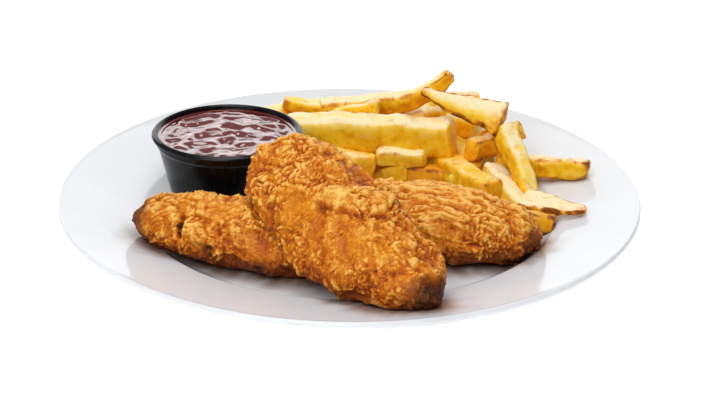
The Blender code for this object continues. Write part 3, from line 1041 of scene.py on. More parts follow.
@dataclass
class Tender:
    """A breaded and fried chicken tender, crusted over its solid. Sizes in mm.

    Its swells, crags and nodules are sizes of noise. The crust is sunk a little, to stay in the solid's outline.
    """

    node: str
    seed: int
    toasted: tuple[Spot, ...] = ()
    honey: tuple[Spot, ...] = ()
    curls: tuple[Spot, ...] = ()
    smooth: tuple[Spot, ...] = ()
    folds: tuple[Fold, ...] = ()
    grain_along: Place = (1.0, 0.0, 0.0)
    streaks: float = 0.0
    painted_top_light: float = 0.0
    crumbs: int = 150
    crumb_sizes: tuple[float, float] = (0.35, 0.9)
    curl_faces: tuple[int, int] = (26, 16)
    sink: float = 0.35
    voxel: float = 0.42
    plate_gap: float = 0.25
    swells: Waves = ((13.0, 1.3, 2.0), (7.0, 0.85, 3.0))
    crags: Waves = ((4.6, 1.0, 1.0), (2.5, 0.6, 5.0), (1.5, 0.42, 9.0), (0.9, 0.26, 15.0))
    nodules: Waves = ((3.6, 1.15, 5.0), (1.9, 0.5, 8.0))

    def _body(self) -> bpy.types.Object:
        """The tender's solid, rounded and cut into an even fine mesh."""
        source = frame_solids()[self.node]
        body = bpy.data.objects.new(f"{self.node}_crust", source.data.copy())
        bpy.context.scene.collection.objects.link(body)
        weld = body.modifiers.new("weld", "WELD")
        weld.merge_threshold = 0.01 * MM
        rounding = body.modifiers.new("round", "SUBSURF")
        rounding.levels = rounding.render_levels = 2
        even = body.modifiers.new("even", "REMESH")
        even.mode = "VOXEL"
        even.voxel_size = self.voxel * MM
        even.use_smooth_shade = True
        shaped = bpy.data.meshes.new_from_object(body.evaluated_get(bpy.context.evaluated_depsgraph_get()))
        shaped.name = body.name
        body.modifiers.clear()
        old, body.data = body.data, shaped
        bpy.data.meshes.remove(old)
        body.data.materials.clear()
        for mark in [m.name for m in body.data.attributes if not m.is_required and not m.is_internal]:
            body.data.attributes.remove(body.data.attributes[mark])
        return body

    def _near(self, points: np.ndarray, spots: tuple[Spot, ...]) -> np.ndarray:
        """How strongly each point is marked by the spots round it."""
        total = np.zeros(len(points))
        for spot in spots:
            away = np.linalg.norm(points - np.array(spot.at) * MM, axis=1) / (spot.reach * MM)
            total = np.maximum(total, spot.strength * (1 - eased(away, 0.35, 1.0)))
        return total

    def _relief(self, points: np.ndarray, normals: np.ndarray) -> np.ndarray:
        """The crags, nodules and crumbs of the crust in mm.

        Args:
            points: The points of the body.
            normals: The directions that they face.

        Returns:
            How far each stands out.
        """
        grain = Grain(self.seed)
        drift = np.stack([grain.smooth(points, 6.5 * MM, 11.0 * k) for k in range(3)], axis=1)
        bent = points + drift * 1.6 * MM
        calm = self._near(points, self.smooth)
        low = eased(-normals[:, 2], -0.25, 0.3)
        # How rough each patch is, and whether it is ridged (1) or knobbly (0).
        rough = np.clip(0.66 + 0.35 * low + 0.8 * grain.smooth(points, 13 * MM, 4.4), 0.38, 1.2) * (1 - 0.6 * calm)
        kind = eased(grain.smooth(points, 11 * MM, 31.0), -0.35, 0.15)
        total = grain.summed(bent, self.swells, MM) * (1 - 0.5 * calm)
        for size, height, shift in self.crags:
            wave = np.abs(grain.smooth(bent, size * MM, shift))
            total += height * rough * (kind * (2.0 * wave - 0.5) + (1 - kind) * (0.3 - 1.2 * wave))
        # Round nodules of batter, on about half of the cells.
        for size, height, shift in self.nodules:
            near, tone = grain.lumps(bent, size * MM, shift)
            dome = eased(1 - near / 0.85, 0, 0.9) * np.where(tone > 0.5, 0.3 + 0.7 * tone, 0.0)
            total += height * rough * (dome - 0.2)
        for fold in self.folds:
            total += fold.rise(points / MM)
        # Long soft wrinkles along the meat's grain.
        if self.streaks:
            along = unit(np.array(self.grain_along))
            squeezed = bent - np.outer(bent @ along, along) * 0.78
            total += self.streaks * grain.layers(squeezed, 3.2 * MM, 2, 6.0) * (0.4 + np.clip(normals[:, 2], 0, 1))
        return total - total.mean() - self.sink + 0.09 * grain.smooth(points, 0.8 * MM, 13.0)

    def _add_curl(
        self, sketch: MeshSketch, curl: Spot, points: np.ndarray, normals: np.ndarray, marks: Marks
    ) -> None:
        """Adds a bent roll of batter that stands up from the crust.

        Args:
            sketch: The crumbs so far.
            curl: Where it stands, the radius of its bend and how far round it goes, as a share of a turn.
            points: The points of the crust.
            normals: The directions that they face.
            marks: The crust's own marks.
        """
        pick = int(np.argmin(np.linalg.norm(points - np.array(curl.at) * MM, axis=1)))
        grain = Grain(self.seed + 17 + pick % 50)
        up = unit(normals[pick] + np.array([0, 0, 0.5]))
        along = unit(np.cross(np.cross(up, [1.0, -0.25, 0.1]), up))
        out = np.cross(up, along)
        rings, sides = self.curl_faces
        angle = np.linspace(-0.25, -0.25 + curl.strength * math.tau, rings)
        turn = turns(sides)
        thick = curl.reach * 0.46 * np.sqrt(np.clip(1 - np.linspace(-0.97, 0.97, rings) ** 4, 0.02, 1))
        radial = np.cos(angle)[:, None] * along + np.sin(angle)[:, None] * up
        sideways = out * np.linspace(-0.5, 0.5, rings)[:, None]
        middle = points[pick] + (up * curl.reach * 0.05 + radial * curl.reach + sideways) * MM
        around = np.cos(turn)[None, :, None] * radial[:, None, :] + np.sin(turn)[None, :, None] * out
        skin = (around * thick[:, None, None] * MM).reshape(-1, 3)
        away = np.vstack([np.zeros(3), skin, np.zeros(3)])
        made = away + np.vstack([middle[:1], np.repeat(middle, sides, axis=0), middle[-1:]])
        made += away * (0.5 * grain.smooth(made, 2.2 * MM) + 0.25 * grain.smooth(made, 1.0 * MM))[:, None]
        own = marks_of(marks, pick, len(made))
        own["rise"] = np.clip(0.74 + 0.3 * grain.smooth(made, 1.6 * MM), 0, 1)
        sketch.add(made, *tube_faces(rings, sides), own)

    def _crumb_sketch(self, points: np.ndarray, normals: np.ndarray, marks: Marks) -> MeshSketch:
        """Loose crumbs and curls of batter that stand on the crust.

        Args:
            points: The points of the crust.
            normals: The directions that they face.
            marks: The crust's own marks.

        Returns:
            The crumbs.
        """
        draw = np.random.default_rng(self.seed + 7)
        ball, faces = unit_ball(2)
        sketch = MeshSketch()
        open_side = np.where(normals[:, 2] > -0.25, 1.0, 0.05)
        chance = open_side * (0.15 + marks["rise"]) * (1 - 0.95 * self._near(points, self.smooth))
        picks = draw.choice(len(points), self.crumbs, replace=False, p=chance / chance.sum())
        least, most = self.crumb_sizes
        sizes = least + (most - least) * draw.random(self.crumbs) ** 2
        grain = Grain(self.seed + 3)
        for curl in self.curls:
            self._add_curl(sketch, curl, points, normals, marks)
        for number, (pick, size) in enumerate(zip(picks, sizes)):
            lean = unit(draw.normal(size=3) * 0.5 + normals[pick])
            side = unit(np.cross(lean, draw.normal(size=3)))
            axes = np.stack([side * draw.uniform(0.9, 1.5), np.cross(lean, side), lean * draw.uniform(0.5, 0.9)])
            shape = ball @ axes * size * MM
            dents = grain.smooth(shape + number * 0.013, size * 0.9 * MM) * 0.7 + 1
            spot = points[pick] - normals[pick] * size * 0.15 * MM
            crumb = above_plate(spot + shape * dents[:, None], self.plate_gap)
            own = marks_of(marks, pick, len(ball))
            # Painted highlight: each crumb's outer side and its bulges get a lighter colour.
            own["rise"] = np.clip(0.5 * own["rise"] + 0.28 + 0.2 * (ball[:, 2] + dents - 1), 0, 1)
            sketch.add(crumb, NO_QUADS, faces, own)
        return sketch

    def build(self, finish: bpy.types.Material) -> bpy.types.Object:
        """Builds the tender in the place of its solid.

        Args:
            finish: The crust's material.

        Returns:
            The tender.
        """
        body = self._body()
        points, normals = points_of(body)
        relief = self._relief(points, normals)
        # The underside keeps only a quarter of the relief, since the tender lies on it.
        hidden = eased(-normals[:, 2], 0.6, 0.95)
        moved = above_plate(points + normals * (relief * (1 - 0.75 * hidden) * MM)[:, None], self.plate_gap)
        set_points(body, moved)
        grain = Grain(self.seed + 1)
        wander = grain.layers(points, 5 * MM, 3, 3.0)
        strayed = np.stack([grain.layers(points, 4.5 * MM, 3, 40.0 + 9 * k) for k in range(3)], axis=1) * 3.2 * MM
        # Painted light and shade: crests and upward faces get a higher rise and so a lighter colour, creases a lower
        # one and a darker colour.
        crest = 0.9 * standing_out(body, 4) + 0.4 * standing_out(body, 24)
        # Painted shade: faces that look down are browned darker, and creases more than crests; the spots are real
        # browning.
        under = 0.62 * eased(-normals[:, 2] + 0.3 * wander, 0.02, 0.7)
        marks = {
            "rise": np.clip(0.355 + crest + relief * 0.06 + (0.25 + self.painted_top_light) * normals[:, 2], 0.06, 1),
            "toast_and_shade": np.clip(self._near(points + strayed, self.toasted) - 0.16 * np.clip(crest, -1, 1) + under, 0, 1),
            "honey": np.clip(0.6 * self._near(points + strayed, self.honey) + 0.4 * eased(wander, 0.3, 0.8), 0, 0.7),
        }
        _, facing = points_of(body)
        crumbs = self._crumb_sketch(moved, facing, marks).make(f"{self.node}_crumbs")
        for name, values in marks.items():
            set_mark(body, name, values)
        joined = joined_as(body, crumbs)
        joined.data.materials.append(finish)
        return placed(joined, self.node)


def unit_ball(rounds: int) -> tuple[np.ndarray, np.ndarray]:
    """An icosahedron with its faces split this many times and pushed out to radius 1.

    Args:
        rounds: One for the plain icosahedron, two for its first split, and so on.

    Returns:
        Its points and its triangles.
    """
    blank = bpy.data.meshes.new("ball")
    shape = bmesh.new()
    bmesh.ops.create_icosphere(shape, subdivisions=rounds, radius=1)
    shape.to_mesh(blank)
    shape.free()
    points = np.array([v.co for v in blank.vertices])
    faces = np.array([p.vertices for p in blank.polygons])
    bpy.data.meshes.remove(blank)
    return points, faces


def joined_as(body: bpy.types.Object, *more: bpy.types.Object) -> bpy.types.Object:
    """One object of several, under the first one's name.

    Args:
        body: The object that the others are joined to.
        more: The others.

    Returns:
        The joined object.
    """
    with bpy.context.temp_override(active_object=body, selected_editable_objects=[body, *more]):
        bpy.ops.object.join()
    body.data.shade_smooth()
    return body


def make_tenders() -> list[Tender]:
    """The three tenders, with their folds, burnt spots, gold patches, curls and smooth patches."""
    left = Tender(
        node="tender_left",
        seed=101,
        toasted=(
            Spot((-62.8, -48.5, 26), 2.6, 1),
            Spot((-63.4, -51.4, 23), 2.4, 0.9),
            Spot((-52.4, -56.8, 19.6), 3.6, 0.95),
            Spot((-90, -34, 21), 21, 0.78),
            Spot((-34, -66, 11), 10, 0.4),
        ),
        honey=(Spot((-45, -45, 31), 9, 0.6), Spot((-60, -36, 30), 7, 0.5)),
        curls=(Spot((-55.5, -55.4, 22), 2.2, 0.5),),
        folds=(
            Fold(((-62.4, -45.5, 28.4), (-63, -49, 25.5), (-64, -52.5, 22)), 1.1, -2.6),
            Fold(((-66.8, -43.5, 28.5), (-65.6, -46.6, 27)), 2.4, 2),
            Fold(((-60, -50.5, 25.5), (-56, -54, 23), (-51, -57, 20.5)), 2.8, 1.6),
            Fold(((-52.4, -57, 19.4),), 1.3, -1.9),
            Fold(((-57, -47, 28.6), (-50, -52.5, 26), (-45, -57, 23)), 1.8, -1),
            Fold(((-76, -38, 28.3), (-71, -44.5, 26.5)), 2.6, 1),
        ),
        smooth=(Spot((-90, -34, 21), 20, 0.85),),
        streaks=0.2,
    )
    right = Tender(
        node="tender_right",
        seed=211,
        toasted=(
            Spot((72, -46, 14.5), 14, 0.62),
            Spot((62, -51.5, 13), 8, 0.5),
            Spot((50, -46, 24), 4, 0.25),
        ),
        honey=(Spot((40, -32, 31), 6, 0.6), Spot((20, -40, 28), 9, 0.4)),
        smooth=(Spot((32, -26, 31.5), 22, 0.75),),
        folds=(
            Fold(((24, -34, 31), (40, -40.5, 30), (53, -44, 27)), 1.6, -0.9),
            Fold(((26, -28, 31.5), (42, -33, 31.5), (58, -40, 26)), 2.6, 0.9),
            Fold(((46, -53, 20), (56, -53, 17.5), (64, -51, 15)), 1.3, -1.3),
        ),
        grain_along=(0.93, -0.36, -0.05),
        streaks=1.2,
        painted_top_light=0.1,
    )
    centre = Tender(
        node="tender_centre",
        seed=307,
        toasted=(
            Spot((32, -104, 19), 19, 1),
            Spot((24, -104, 15), 12, 0.75),
            Spot((-36, -46, 34.5), 3.4, 0.6),
            Spot((18.5, -62, 41.5), 3.6, 0.5),
        ),
        honey=(Spot((-19.6, -63, 37.5), 13, 0.6), Spot((8, -84, 35), 11, 0.6)),
        curls=(
            Spot((-8.2, -43, 51), 2.6, 0.62),
            Spot((-3.4, -51, 50.5), 2.9, 0.55),
            Spot((10, -58.5, 46.5), 1.7, 0.55),
        ),
        smooth=(Spot((-19.6, -64, 37.5), 10, 0.35), Spot((3, -68, 44.5), 8, 0.4)),
        folds=(
            Fold(
                ((-9.8, -67.4, 41), (-3.2, -71.6, 42.2), (5.7, -74.2, 41.9), (12.8, -74, 41.5), (20, -76, 38)),
                1.7,
                -1.4,
            ),
            Fold(((-11.3, -64, 43.5), (-3.3, -66, 45.4), (5.7, -65.8, 45.2), (14.7, -64.5, 43.9)), 4.2, 1.9),
            Fold(((-9.8, -67.4, 41), (-9.7, -71.6, 37.4), (-13.2, -73.8, 32.9)), 2.2, -0.6),
            Fold(((-19.6, -63, 38.5),), 7, -1.2),
            Fold(((-28, -53, 41), (-19, -55.5, 44), (-12, -60, 45)), 2.4, 1.2),
            Fold(((-18, -49, 48), (-12, -46, 50.5)), 2.6, 1.3),
            Fold(((-6, -72.5, 38.5), (-8, -77, 33)), 2.6, 1),
            Fold(((3, -93.5, 15.5), (7.5, -97, 14)), 4.6, -5),
            Fold(((2, -47, 52), (7, -54, 50)), 5.5, -2.6),
            Fold(((24.5, -79.5, 34), (31, -87, 28)), 4.2, -2.4),
            Fold(((37, -97, 22),), 5, -1.6),
            Fold(((16, -95, 29), (25, -93.5, 29.5)), 1.6, -1.1),
        ),
        crumbs=190,
    )
    return [left, right, centre]


# ---- Fries ----


class FryCut(Enum):
    """The cut of a fry, by the shape of its section."""

    BATON = "baton"
    HALF_MOON = "half moon"
    BLADE = "blade"

    def section(self, sides: int) -> tuple[np.ndarray, np.ndarray]:
        """The section, from -1 to 1 across and up.

        Args:
            sides: How many points it has.

        Returns:
            The points, and how near each is to an edge of the cut, 0 to 1.
        """
        turn = (np.arange(sides) + 0.5) * math.tau / sides
        c, s = np.cos(turn), np.sin(turn)
        power = {FryCut.BATON: 4.9, FryCut.HALF_MOON: 2.5, FryCut.BLADE: 3.2}[self]
        reach = (np.abs(c) ** power + np.abs(s) ** power) ** (-1 / power)
        x, y = c * reach, s * reach
        if self is FryCut.BATON:
            edge = eased(np.minimum(np.abs(x), np.abs(y)), 0.62, 0.86)
            return np.stack([x, y], axis=1), edge
        edge = eased(np.abs(x), 0.72, 0.94)
        if self is FryCut.HALF_MOON:
            flat = 0.42 * np.tanh(y * 3.2) / np.tanh(3.2)
            return np.stack([x, np.where(y > 0, flat, y)], axis=1), edge
        return np.stack([x, y * (1 - 0.6 * np.abs(x) ** 3)], axis=1), edge


@dataclass(frozen=True)
class Fry:
    """A chunky fry. Sizes in mm.

    The middle line, the width, the height, the lean and the sizes of its ends follow the solid's fries, but for a few
    that lie a little differently to match the photo. The rest is its looks: how pale it is, how browned at its start,
    at its end, along its edges and all over, and how far its ends are rounded.
    """

    spine: tuple[Place, ...]
    width: float
    height: float
    lean: float = 0.0
    start_size: float = 1.0
    end_size: float = 1.0
    cut: FryCut = FryCut.BATON
    pale: float = 0.0
    start_brown: float = 0.0
    end_brown: float = 0.0
    edge_brown: float = 0.0
    toasting: float = 0.0
    rounding: float = 1.8

    @property
    def length(self) -> float:
        """The length of its middle line, corner to corner."""
        return np.linalg.norm(np.diff(np.array(self.spine, float), axis=0), axis=1).sum()


FRIES = (
    Fry(((-14, 30, 13.6), (-8, 70, 17.5)), 12, 12, 4),
    Fry(((-6, 30, 16.5), (9, 34, 15)), 11, 13, -6, pale=-0.1, end_brown=0.5, edge_brown=0.2),
    Fry(((11.2, 32.5, 20.8), (32, 31, 20)), 8.5, 7, -10, pale=0.3, start_brown=0.75, edge_brown=0.3),
    Fry(((19, 28.5, 13), (22, 74, 14)), 11, 8.5, 12, pale=-0.1, start_brown=0.4, edge_brown=0.3),
    Fry(((20, 45, 15), (44, 40, 15)), 12, 14, -4, pale=-0.15),
    Fry(((46, 15, 13.2), (55, 56, 14)), 11, 11, 8),
    # This low fry is darker and browner than the rest: partly browning, partly painted shade for the dark gap under
    # the heap.
    Fry(((24, 33, 12.6), (46, 27, 12.4)), 9, 9, 4, pale=-0.4, edge_brown=0.6, toasting=0.3),
    Fry(((58.5, 27, 16.5), (64.5, 11, 14.5), (71, -5, 11.6)), 10, 9, 12, pale=0.35),
    Fry(((61, 33, 17), (87, 24, 19), (98.5, 20, 20.6)), 9, 10, 8, 1.0, 0.75, end_brown=1.1, edge_brown=0.45),
    Fry(((66, -12, 12.5), (81, -19, 12.5)), 11, 10, 15, 1, 0.7, FryCut.BATON, -0.25, 0, 0.9, 0.8, 0.16),
    Fry(((69, -3, 17), (82, -10, 17), (93.5, -14, 17.6)), 17, 10, -6, 0.9, 0.25, FryCut.HALF_MOON, 0.2, 0, 0.9, 1.0),
    Fry(((-36, 65, 14.5), (-6, 80, 21)), 11, 11, -4),
    Fry(((-42, 74, 19), (-18, 83.5, 21)), 10, 10, 5, pale=0.05),
    Fry(((-6, 73, 15), (30, 80, 17.5)), 11, 11, 6),
    Fry(((2, 66, 23), (40, 71, 24)), 11, 10, -6),
    Fry(((-29, 74, 28), (-17, 73, 26), (6, 69, 27)), 10, 10, -8, 0.45, 1.0, start_brown=0.7),
    Fry(((20, 78, 20.5), (56, 66, 20)), 11, 11, 3),
    Fry(((34, 74, 29), (56, 79, 28)), 10, 9, 10, pale=0.3),
    Fry(((-25, 41, 27.4), (12, 39.5, 27.6), (44, 37.5, 26)), 12, 14.5, 3, 0.95, 1.08, pale=0.06, end_brown=0.2,
        rounding=3),
    Fry(((39.3, 38.5, 15.8), (49.5, 15, 17.3), (57.8, 1, 17.6)), 10, 9.5, 8, pale=-0.2, end_brown=0.35, toasting=0.1),
    Fry(((0, 54, 24), (32, 58, 25)), 11, 11, -5),
    Fry(((50, 29, 24), (68, 44, 24)), 9, 9, 6, pale=-0.15, start_brown=0.3, edge_brown=0.45, toasting=0.08),
    Fry(((-12, 58, 30), (10, 57, 33.5), (28, 55.5, 37.5), (43, 54, 49)), 8.5, 10, -6, 1, 0.62, pale=0.05,
        end_brown=0.9, edge_brown=0.55),
    Fry(((-9, 50, 32), (1, 51, 33), (13, 52, 34.5)), 9, 7, 20, 0.3, 1.0, pale=0.1, end_brown=0.35),
    Fry(((30, 45, 45), (47, 38, 40.5), (64, 31.5, 37.5)), 16, 8, -42, 0.25, 1.05, FryCut.BLADE, 0.12, 1.1, 0.95, 1.1),
    Fry(((64.5, 30, 34), (68.5, 16, 25), (74, 2, 13.5)), 9, 10, 10, 1.0, 0.62, pale=0.05, edge_brown=0.15),
    Fry(((58, 48, 22), (71, 38, 30)), 9, 9, 0, pale=-0.05, end_brown=0.4, edge_brown=0.3),
)


@dataclass
class FryHeap:
    """The heap of fries over its own low core. Sizes in mm."""

    fries: tuple[Fry, ...] = FRIES
    core_at: Place = (26.0, 53.0, 7.0)
    core_size: Place = (36.0, 22.0, 15.0)
    sides: int = 40
    rings: int = 60
    end_rings: int = 8
    seed: int = 61
    end_power: float = 3.2
    slant_reach: float = 6.0
    brown_reach: float = 2.6
    blister: float = 3.0
    dents: Waves = ((11.0, 0.7, 1.0), (5.0, 0.55, 4.0), (2.4, 0.3, 14.0), (1.3, 0.07, 8.0))

    def _frames(self, fry: Fry, shares: np.ndarray) -> tuple[np.ndarray, np.ndarray, np.ndarray, np.ndarray]:
        """The middle line of a fry and the directions across, up and along it.

        Args:
            fry: The fry.
            shares: Where along it, 0 to 1.

        Returns:
            The middles, the sideways, the upward and the forward directions, one row for each share.
        """
        spine = np.array(fry.spine, float)
        middle = curve_at(spine, shares)
        along = unit(curve_at(spine, np.minimum(shares + 0.01, 1)) - curve_at(spine, np.maximum(shares - 0.01, 0)))
        across = unit(np.cross(along, [0, 0, 1]))
        up = np.cross(across, along)
        turn = math.radians(fry.lean)
        side = across * math.cos(turn) + up * math.sin(turn)
        top = up * math.cos(turn) - across * math.sin(turn)
        return middle, side, top, along

    def _add_fry(self, sketch: MeshSketch, fry: Fry, number: int) -> None:
        """Adds one fry to the heap.

        Args:
            sketch: The heap so far.
            fry: The fry.
            number: Its place in the heap, which settles its draws.
        """
        draw = np.random.default_rng(self.seed + number)
        grain = Grain(self.seed + number)
        length = fry.length
        turn = np.linspace(0, math.pi / 2, self.end_rings + 1)[1:]
        close = min(fry.rounding, 0.34 * fry.height) * (1 - np.cos(turn) ** (2 / self.end_power)) / length
        shrink = np.sin(turn) ** (2 / self.end_power)
        body = np.linspace(close[-1], 1 - close[-1], self.rings)[1:-1]
        shares = np.concatenate([close, body, 1 - close[::-1]])
        scale = np.concatenate([shrink, np.ones(len(body)), shrink[::-1]])
        middle, side, top, along = self._frames(fry, shares)
        path = shares[:, None] * np.array([length, 0, 0])
        size = fry.start_size + (fry.end_size - fry.start_size) * shares
        wide = size * scale * (1 + 0.12 * grain.smooth(path, 12, 1.0)) * fry.width / 2
        high = size * scale * (1 + 0.12 * grain.smooth(path, 12, 5.0)) * fry.height / 2
        sway = scale * eased(np.minimum(shares, 1 - shares), 0, 0.1)
        middle = middle + side * (sway * 0.8 * grain.smooth(path, 16, 9.0))[:, None]
        middle = middle + top * (sway * 0.5 * grain.smooth(path, 13, 19.0))[:, None]
        section, edge = fry.cut.section(self.sides)
        lean_in, shear = draw.uniform(-0.09, 0.09, 2)
        skew = draw.uniform(-0.3, 0.3, (2, 2)) if fry.cut is FryCut.BATON else np.zeros((2, 2))
        x = section[None, :, 0] * (1 + lean_in * section[None, :, 1]) * wide[:, None]
        y = (section[None, :, 1] + shear * section[None, :, 0]) * high[:, None]
        # Each long face sinks and swells on its own.
        for k, towards in enumerate((1, -1)):
            face = np.stack([eased(section[:, 0] * towards, 0.3, 0.95), eased(section[:, 1] * towards, 0.3, 0.95)])
            dip = np.stack([grain.smooth(path, 8.5, 30.0 + 5 * k), grain.smooth(path, 10.5, 50.0 + 5 * k)])
            x = x + 0.07 * fry.width * (scale * dip[0])[:, None] * face[0]
            y = y + 0.07 * fry.height * (scale * dip[1])[:, None] * face[1]
        # The ends are cut at a slant.
        near_start = np.clip(1 - shares * length / self.slant_reach, 0, 1)[:, None]
        near_end = np.clip(1 - (1 - shares) * length / self.slant_reach, 0, 1)[:, None]
        slide = near_start * (x * skew[0, 0] + y * skew[0, 1]) + near_end * (x * skew[1, 0] + y * skew[1, 1])
        points = (
            middle[:, None, :]
            + side[:, None, :] * x[..., None]
            + top[:, None, :] * y[..., None]
            + along[:, None, :] * slide[..., None]
        ).reshape(-1, 3)
        ends = self._frames(fry, np.array([0.0, 1.0]))[0]
        points = np.vstack([ends[:1], points, ends[1:]])
        self._finish_fry(sketch, fry, points, edge[None, :] * scale[:, None] ** 3, shares * length, grain)

    def _finish_fry(
        self, sketch: MeshSketch, fry: Fry, points: np.ndarray, edge: np.ndarray, along: np.ndarray, grain: Grain
    ) -> None:
        """Marks a fry's browned and pale places and adds it to the heap.

        Args:
            sketch: The heap so far.
            fry: The fry.
            points: Its points in mm.
            edge: How near each point is to an edge, one row for each section.
            along: How far along the fry each section is.
            grain: The fry's noise.
        """
        length = along[-1]
        from_start = np.concatenate([[0], np.repeat(along, self.sides), [length]])
        edges = np.concatenate([[0], edge.ravel(), [0]])
        patchy = np.clip(0.55 + 1.3 * grain.layers(points, 4.5, 3, 2.0), 0, 1.4)
        at_start = np.exp(-from_start / self.brown_reach) * fry.start_brown
        at_end = np.exp(-(length - from_start) / self.brown_reach) * fry.end_brown
        rim = edges**1.6 * patchy * fry.edge_brown * 1.4
        tips = (at_start + at_end) * patchy * (0.65 + 0.7 * edges)
        ahead = unit(np.array(fry.spine[-1], float) - np.array(fry.spine[0]))
        fibre = points - np.outer(points @ ahead, ahead) * 0.72
        veins = 0.3 * grain.layers(fibre, 5.0, 3, 8.0)
        marks = {"brown": np.clip(rim * 0.85 + tips + fry.toasting, 0, 1), "tint": fry.pale + veins}
        sketch.add(above_plate(points * MM, 0.5), *tube_faces(len(along), self.sides), marks)

    def _add_core(self, sketch: MeshSketch) -> None:
        """Adds the mound of fries that lies under the rest."""
        ball, faces = unit_ball(5)
        points = ball * np.array(self.core_size) + np.array(self.core_at)
        grain = Grain(self.seed)
        points += ball * (1.2 * grain.layers(points, 9, 2))[:, None]
        marks = {"brown": np.full(len(ball), 0.12), "tint": np.full(len(ball), -0.1)}
        sketch.add(above_plate(points * MM, 0.6), NO_QUADS, faces, marks)

    def build(self) -> bpy.types.Object:
        """Builds the heap in the place of its solid.

        Returns:
            The heap.
        """
        sketch = MeshSketch()
        self._add_core(sketch)
        for number, fry in enumerate(self.fries):
            self._add_fry(sketch, fry, number)
        heap = sketch.make("fries_fried")
        points, normals = points_of(heap)
        grain = Grain(self.seed)
        relief = grain.summed(points, self.dents, MM)
        near, tone = grain.lumps(points, self.blister * MM, 2.0)
        blistered = eased(grain.smooth(points, 12 * MM, 7.0), -0.3, 0.3)
        relief += 0.4 * np.where(tone > 0.6, eased(1 - near / 0.6, 0, 1), 0) * blistered
        set_points(heap, above_plate(points + normals * (relief * MM)[:, None], 0.3))
        # Painted light and shade: faces that look up at the open sky are painted pale, crests lighter, and faces deep
        # in the heap or facing down are painted amber.
        tint = np.empty(len(points), np.float32)
        heap.data.attributes["tint"].data.foreach_get("value", tint)
        upward = eased(normals[:, 2], 0.3, 0.95)
        sky = open_sky(heap, 30 * MM)
        pale = 0.08 + 0.12 * eased(sky, 0.0, 0.6) + (0.56 + 0.6 * tint) * upward * eased(sky, 0.2, 0.7)
        pale += 0.4 * tint + 0.06 * grain.layers(points, 8 * MM, 2, 3.0) + 0.28 * standing_out(heap, 6)
        pale -= 0.16 * eased(-normals[:, 2], -0.1, 0.6)
        set_mark(heap, "pale", np.clip(pale, 0, 1))
        heap.data.materials.append(PotatoFinish().make())
        return placed(heap, "fries")


# ---- Studio ----


@dataclass(frozen=True)
class SoftLight:
    """A flat soft light: where it hangs, what it points at, its two sides in metres and its brightness."""

    name: str
    at: Place
    aim: Place
    size: tuple[float, float]
    brightness: float

    def hang(self) -> bpy.types.Object:
        """Hangs the light, unseen by the camera itself.

        Returns:
            The light.
        """
        lamp = bpy.data.lights.new(self.name, "AREA")
        lamp.shape = "RECTANGLE"
        lamp.size, lamp.size_y = self.size
        lamp.energy = self.brightness * math.pi * self.size[0] * self.size[1]
        light = bpy.data.objects.new(self.name, lamp)
        light.location = self.at
        light.rotation_euler = (Vector(self.aim) - Vector(self.at)).to_track_quat("-Z", "Y").to_euler()
        light.visible_camera = False
        bpy.context.scene.collection.objects.link(light)
        return light


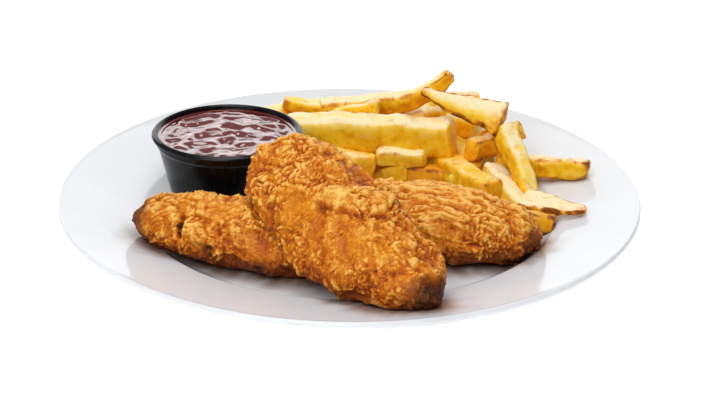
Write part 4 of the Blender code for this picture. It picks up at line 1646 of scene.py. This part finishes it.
@dataclass
class Studio:
    """The floor, the soft lights, the pale surroundings and the camera."""

    camera_at: Place = (0.0, -0.6373, 0.2966)
    camera_aim: Place = (0.0008, 0.0321, 0.0)
    camera_roll: float = 0.0096
    lens: float = 88.87
    floor_radius: float = 0.6
    floor_sides: int = 96
    lights: tuple[SoftLight, ...] = (
        SoftLight("back_softbox", (0.0, 1.3, 0.48), (0, 0, 0.02), (2.2, 0.9), 1.5),
        SoftLight("top_softbox", (-0.1, -0.05, 1.4), (0, 0, 0.02), (1.0, 0.8), 3.5),
        SoftLight("front_softbox", (-0.35, -0.9, 1.0), (0, 0, 0.02), (0.9, 0.6), 5.1),
        SoftLight("left_panel", (-1.1, -0.1, 0.45), (0, 0, 0.03), (0.5, 0.6), 0.8),
    )

    def _floor(self) -> None:
        """A round floor, a hair under the plate's foot, whose edge drops out of sight."""
        shares = np.linspace(0, 1, 24) ** 1.3
        edge = self.floor_radius + 4 * MM
        profile = [(share * self.floor_radius, -0.02 * MM) for share in shares]
        profile += [(edge, -2 * MM), (edge, -10 * MM), (0.0, -10 * MM)]
        points = lathe(np.array(profile), self.floor_sides)
        turned("pale_floor", points, self.floor_sides, FloorFinish().make())

    def _surroundings(self) -> None:
        """A pale room, dimmer towards its floor."""
        world = bpy.data.worlds.new("pale_room")
        world.use_nodes = True
        tree = world.node_tree
        place = tree.nodes.new("ShaderNodeTexCoord").outputs["Generated"]
        split = tree.nodes.new("ShaderNodeSeparateXYZ")
        tree.links.new(place, split.inputs["Vector"])
        ramp = tree.nodes.new("ShaderNodeValToRGB")
        ramp.color_ramp.elements[0].position, ramp.color_ramp.elements[0].color = 0.10, (0.10, 0.10, 0.11, 1)
        ramp.color_ramp.elements[1].position, ramp.color_ramp.elements[1].color = 0.45, (0.27, 0.27, 0.27, 1)
        tree.links.new(split.outputs["Z"], ramp.inputs["Fac"])
        seen = tree.nodes.new("ShaderNodeLightPath").outputs["Is Camera Ray"]
        pick = tree.nodes.new("ShaderNodeMix")
        pick.data_type = "RGBA"
        tree.links.new(seen, pick.inputs[0])
        tree.links.new(ramp.outputs["Color"], pick.inputs[6])
        pick.inputs[7].default_value = (1, 1, 1, 1)
        tree.links.new(pick.outputs[2], tree.nodes["Background"].inputs["Color"])
        bpy.context.scene.world = world

    def _camera(self) -> None:
        """The camera at the photograph's viewing angle."""
        lens = bpy.data.cameras.new("camera")
        lens.lens = self.lens
        lens.sensor_width = 36.0
        lens.sensor_fit = "HORIZONTAL"
        lens.clip_start = 0.01
        lens.dof.use_dof = False
        camera = bpy.data.objects.new("camera", lens)
        camera.location = self.camera_at
        look = (Vector(self.camera_aim) - Vector(self.camera_at)).to_track_quat("-Z", "Y")
        camera.rotation_euler = (look.to_matrix() @ Matrix.Rotation(self.camera_roll, 3, "Z")).to_euler()
        bpy.context.scene.collection.objects.link(camera)
        bpy.context.scene.camera = camera

    def build(self) -> None:
        """Sets up the whole studio."""
        self._floor()
        self._surroundings()
        for light in self.lights:
            light.hang()
        self._camera()
        bpy.context.scene.view_settings.view_transform = "Standard"
        LOG.info("studio: %d lights, floor %.1f m across", len(self.lights), 2 * self.floor_radius)


def main() -> None:
    """Builds every piece over the frame, then the studio, and notes the sizes."""
    logging.basicConfig(level=logging.INFO, format="%(name)s: %(message)s")
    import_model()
    Plate().build()
    pot = SaucePot()
    pot.build()
    Sauce(pot).build()
    crust = CrustFinish().make()
    for tender in make_tenders():
        tender.build(crust)
    FryHeap().build()
    Studio().build()
    bpy.context.view_layer.update()


if __name__ == "__main__":
    main()
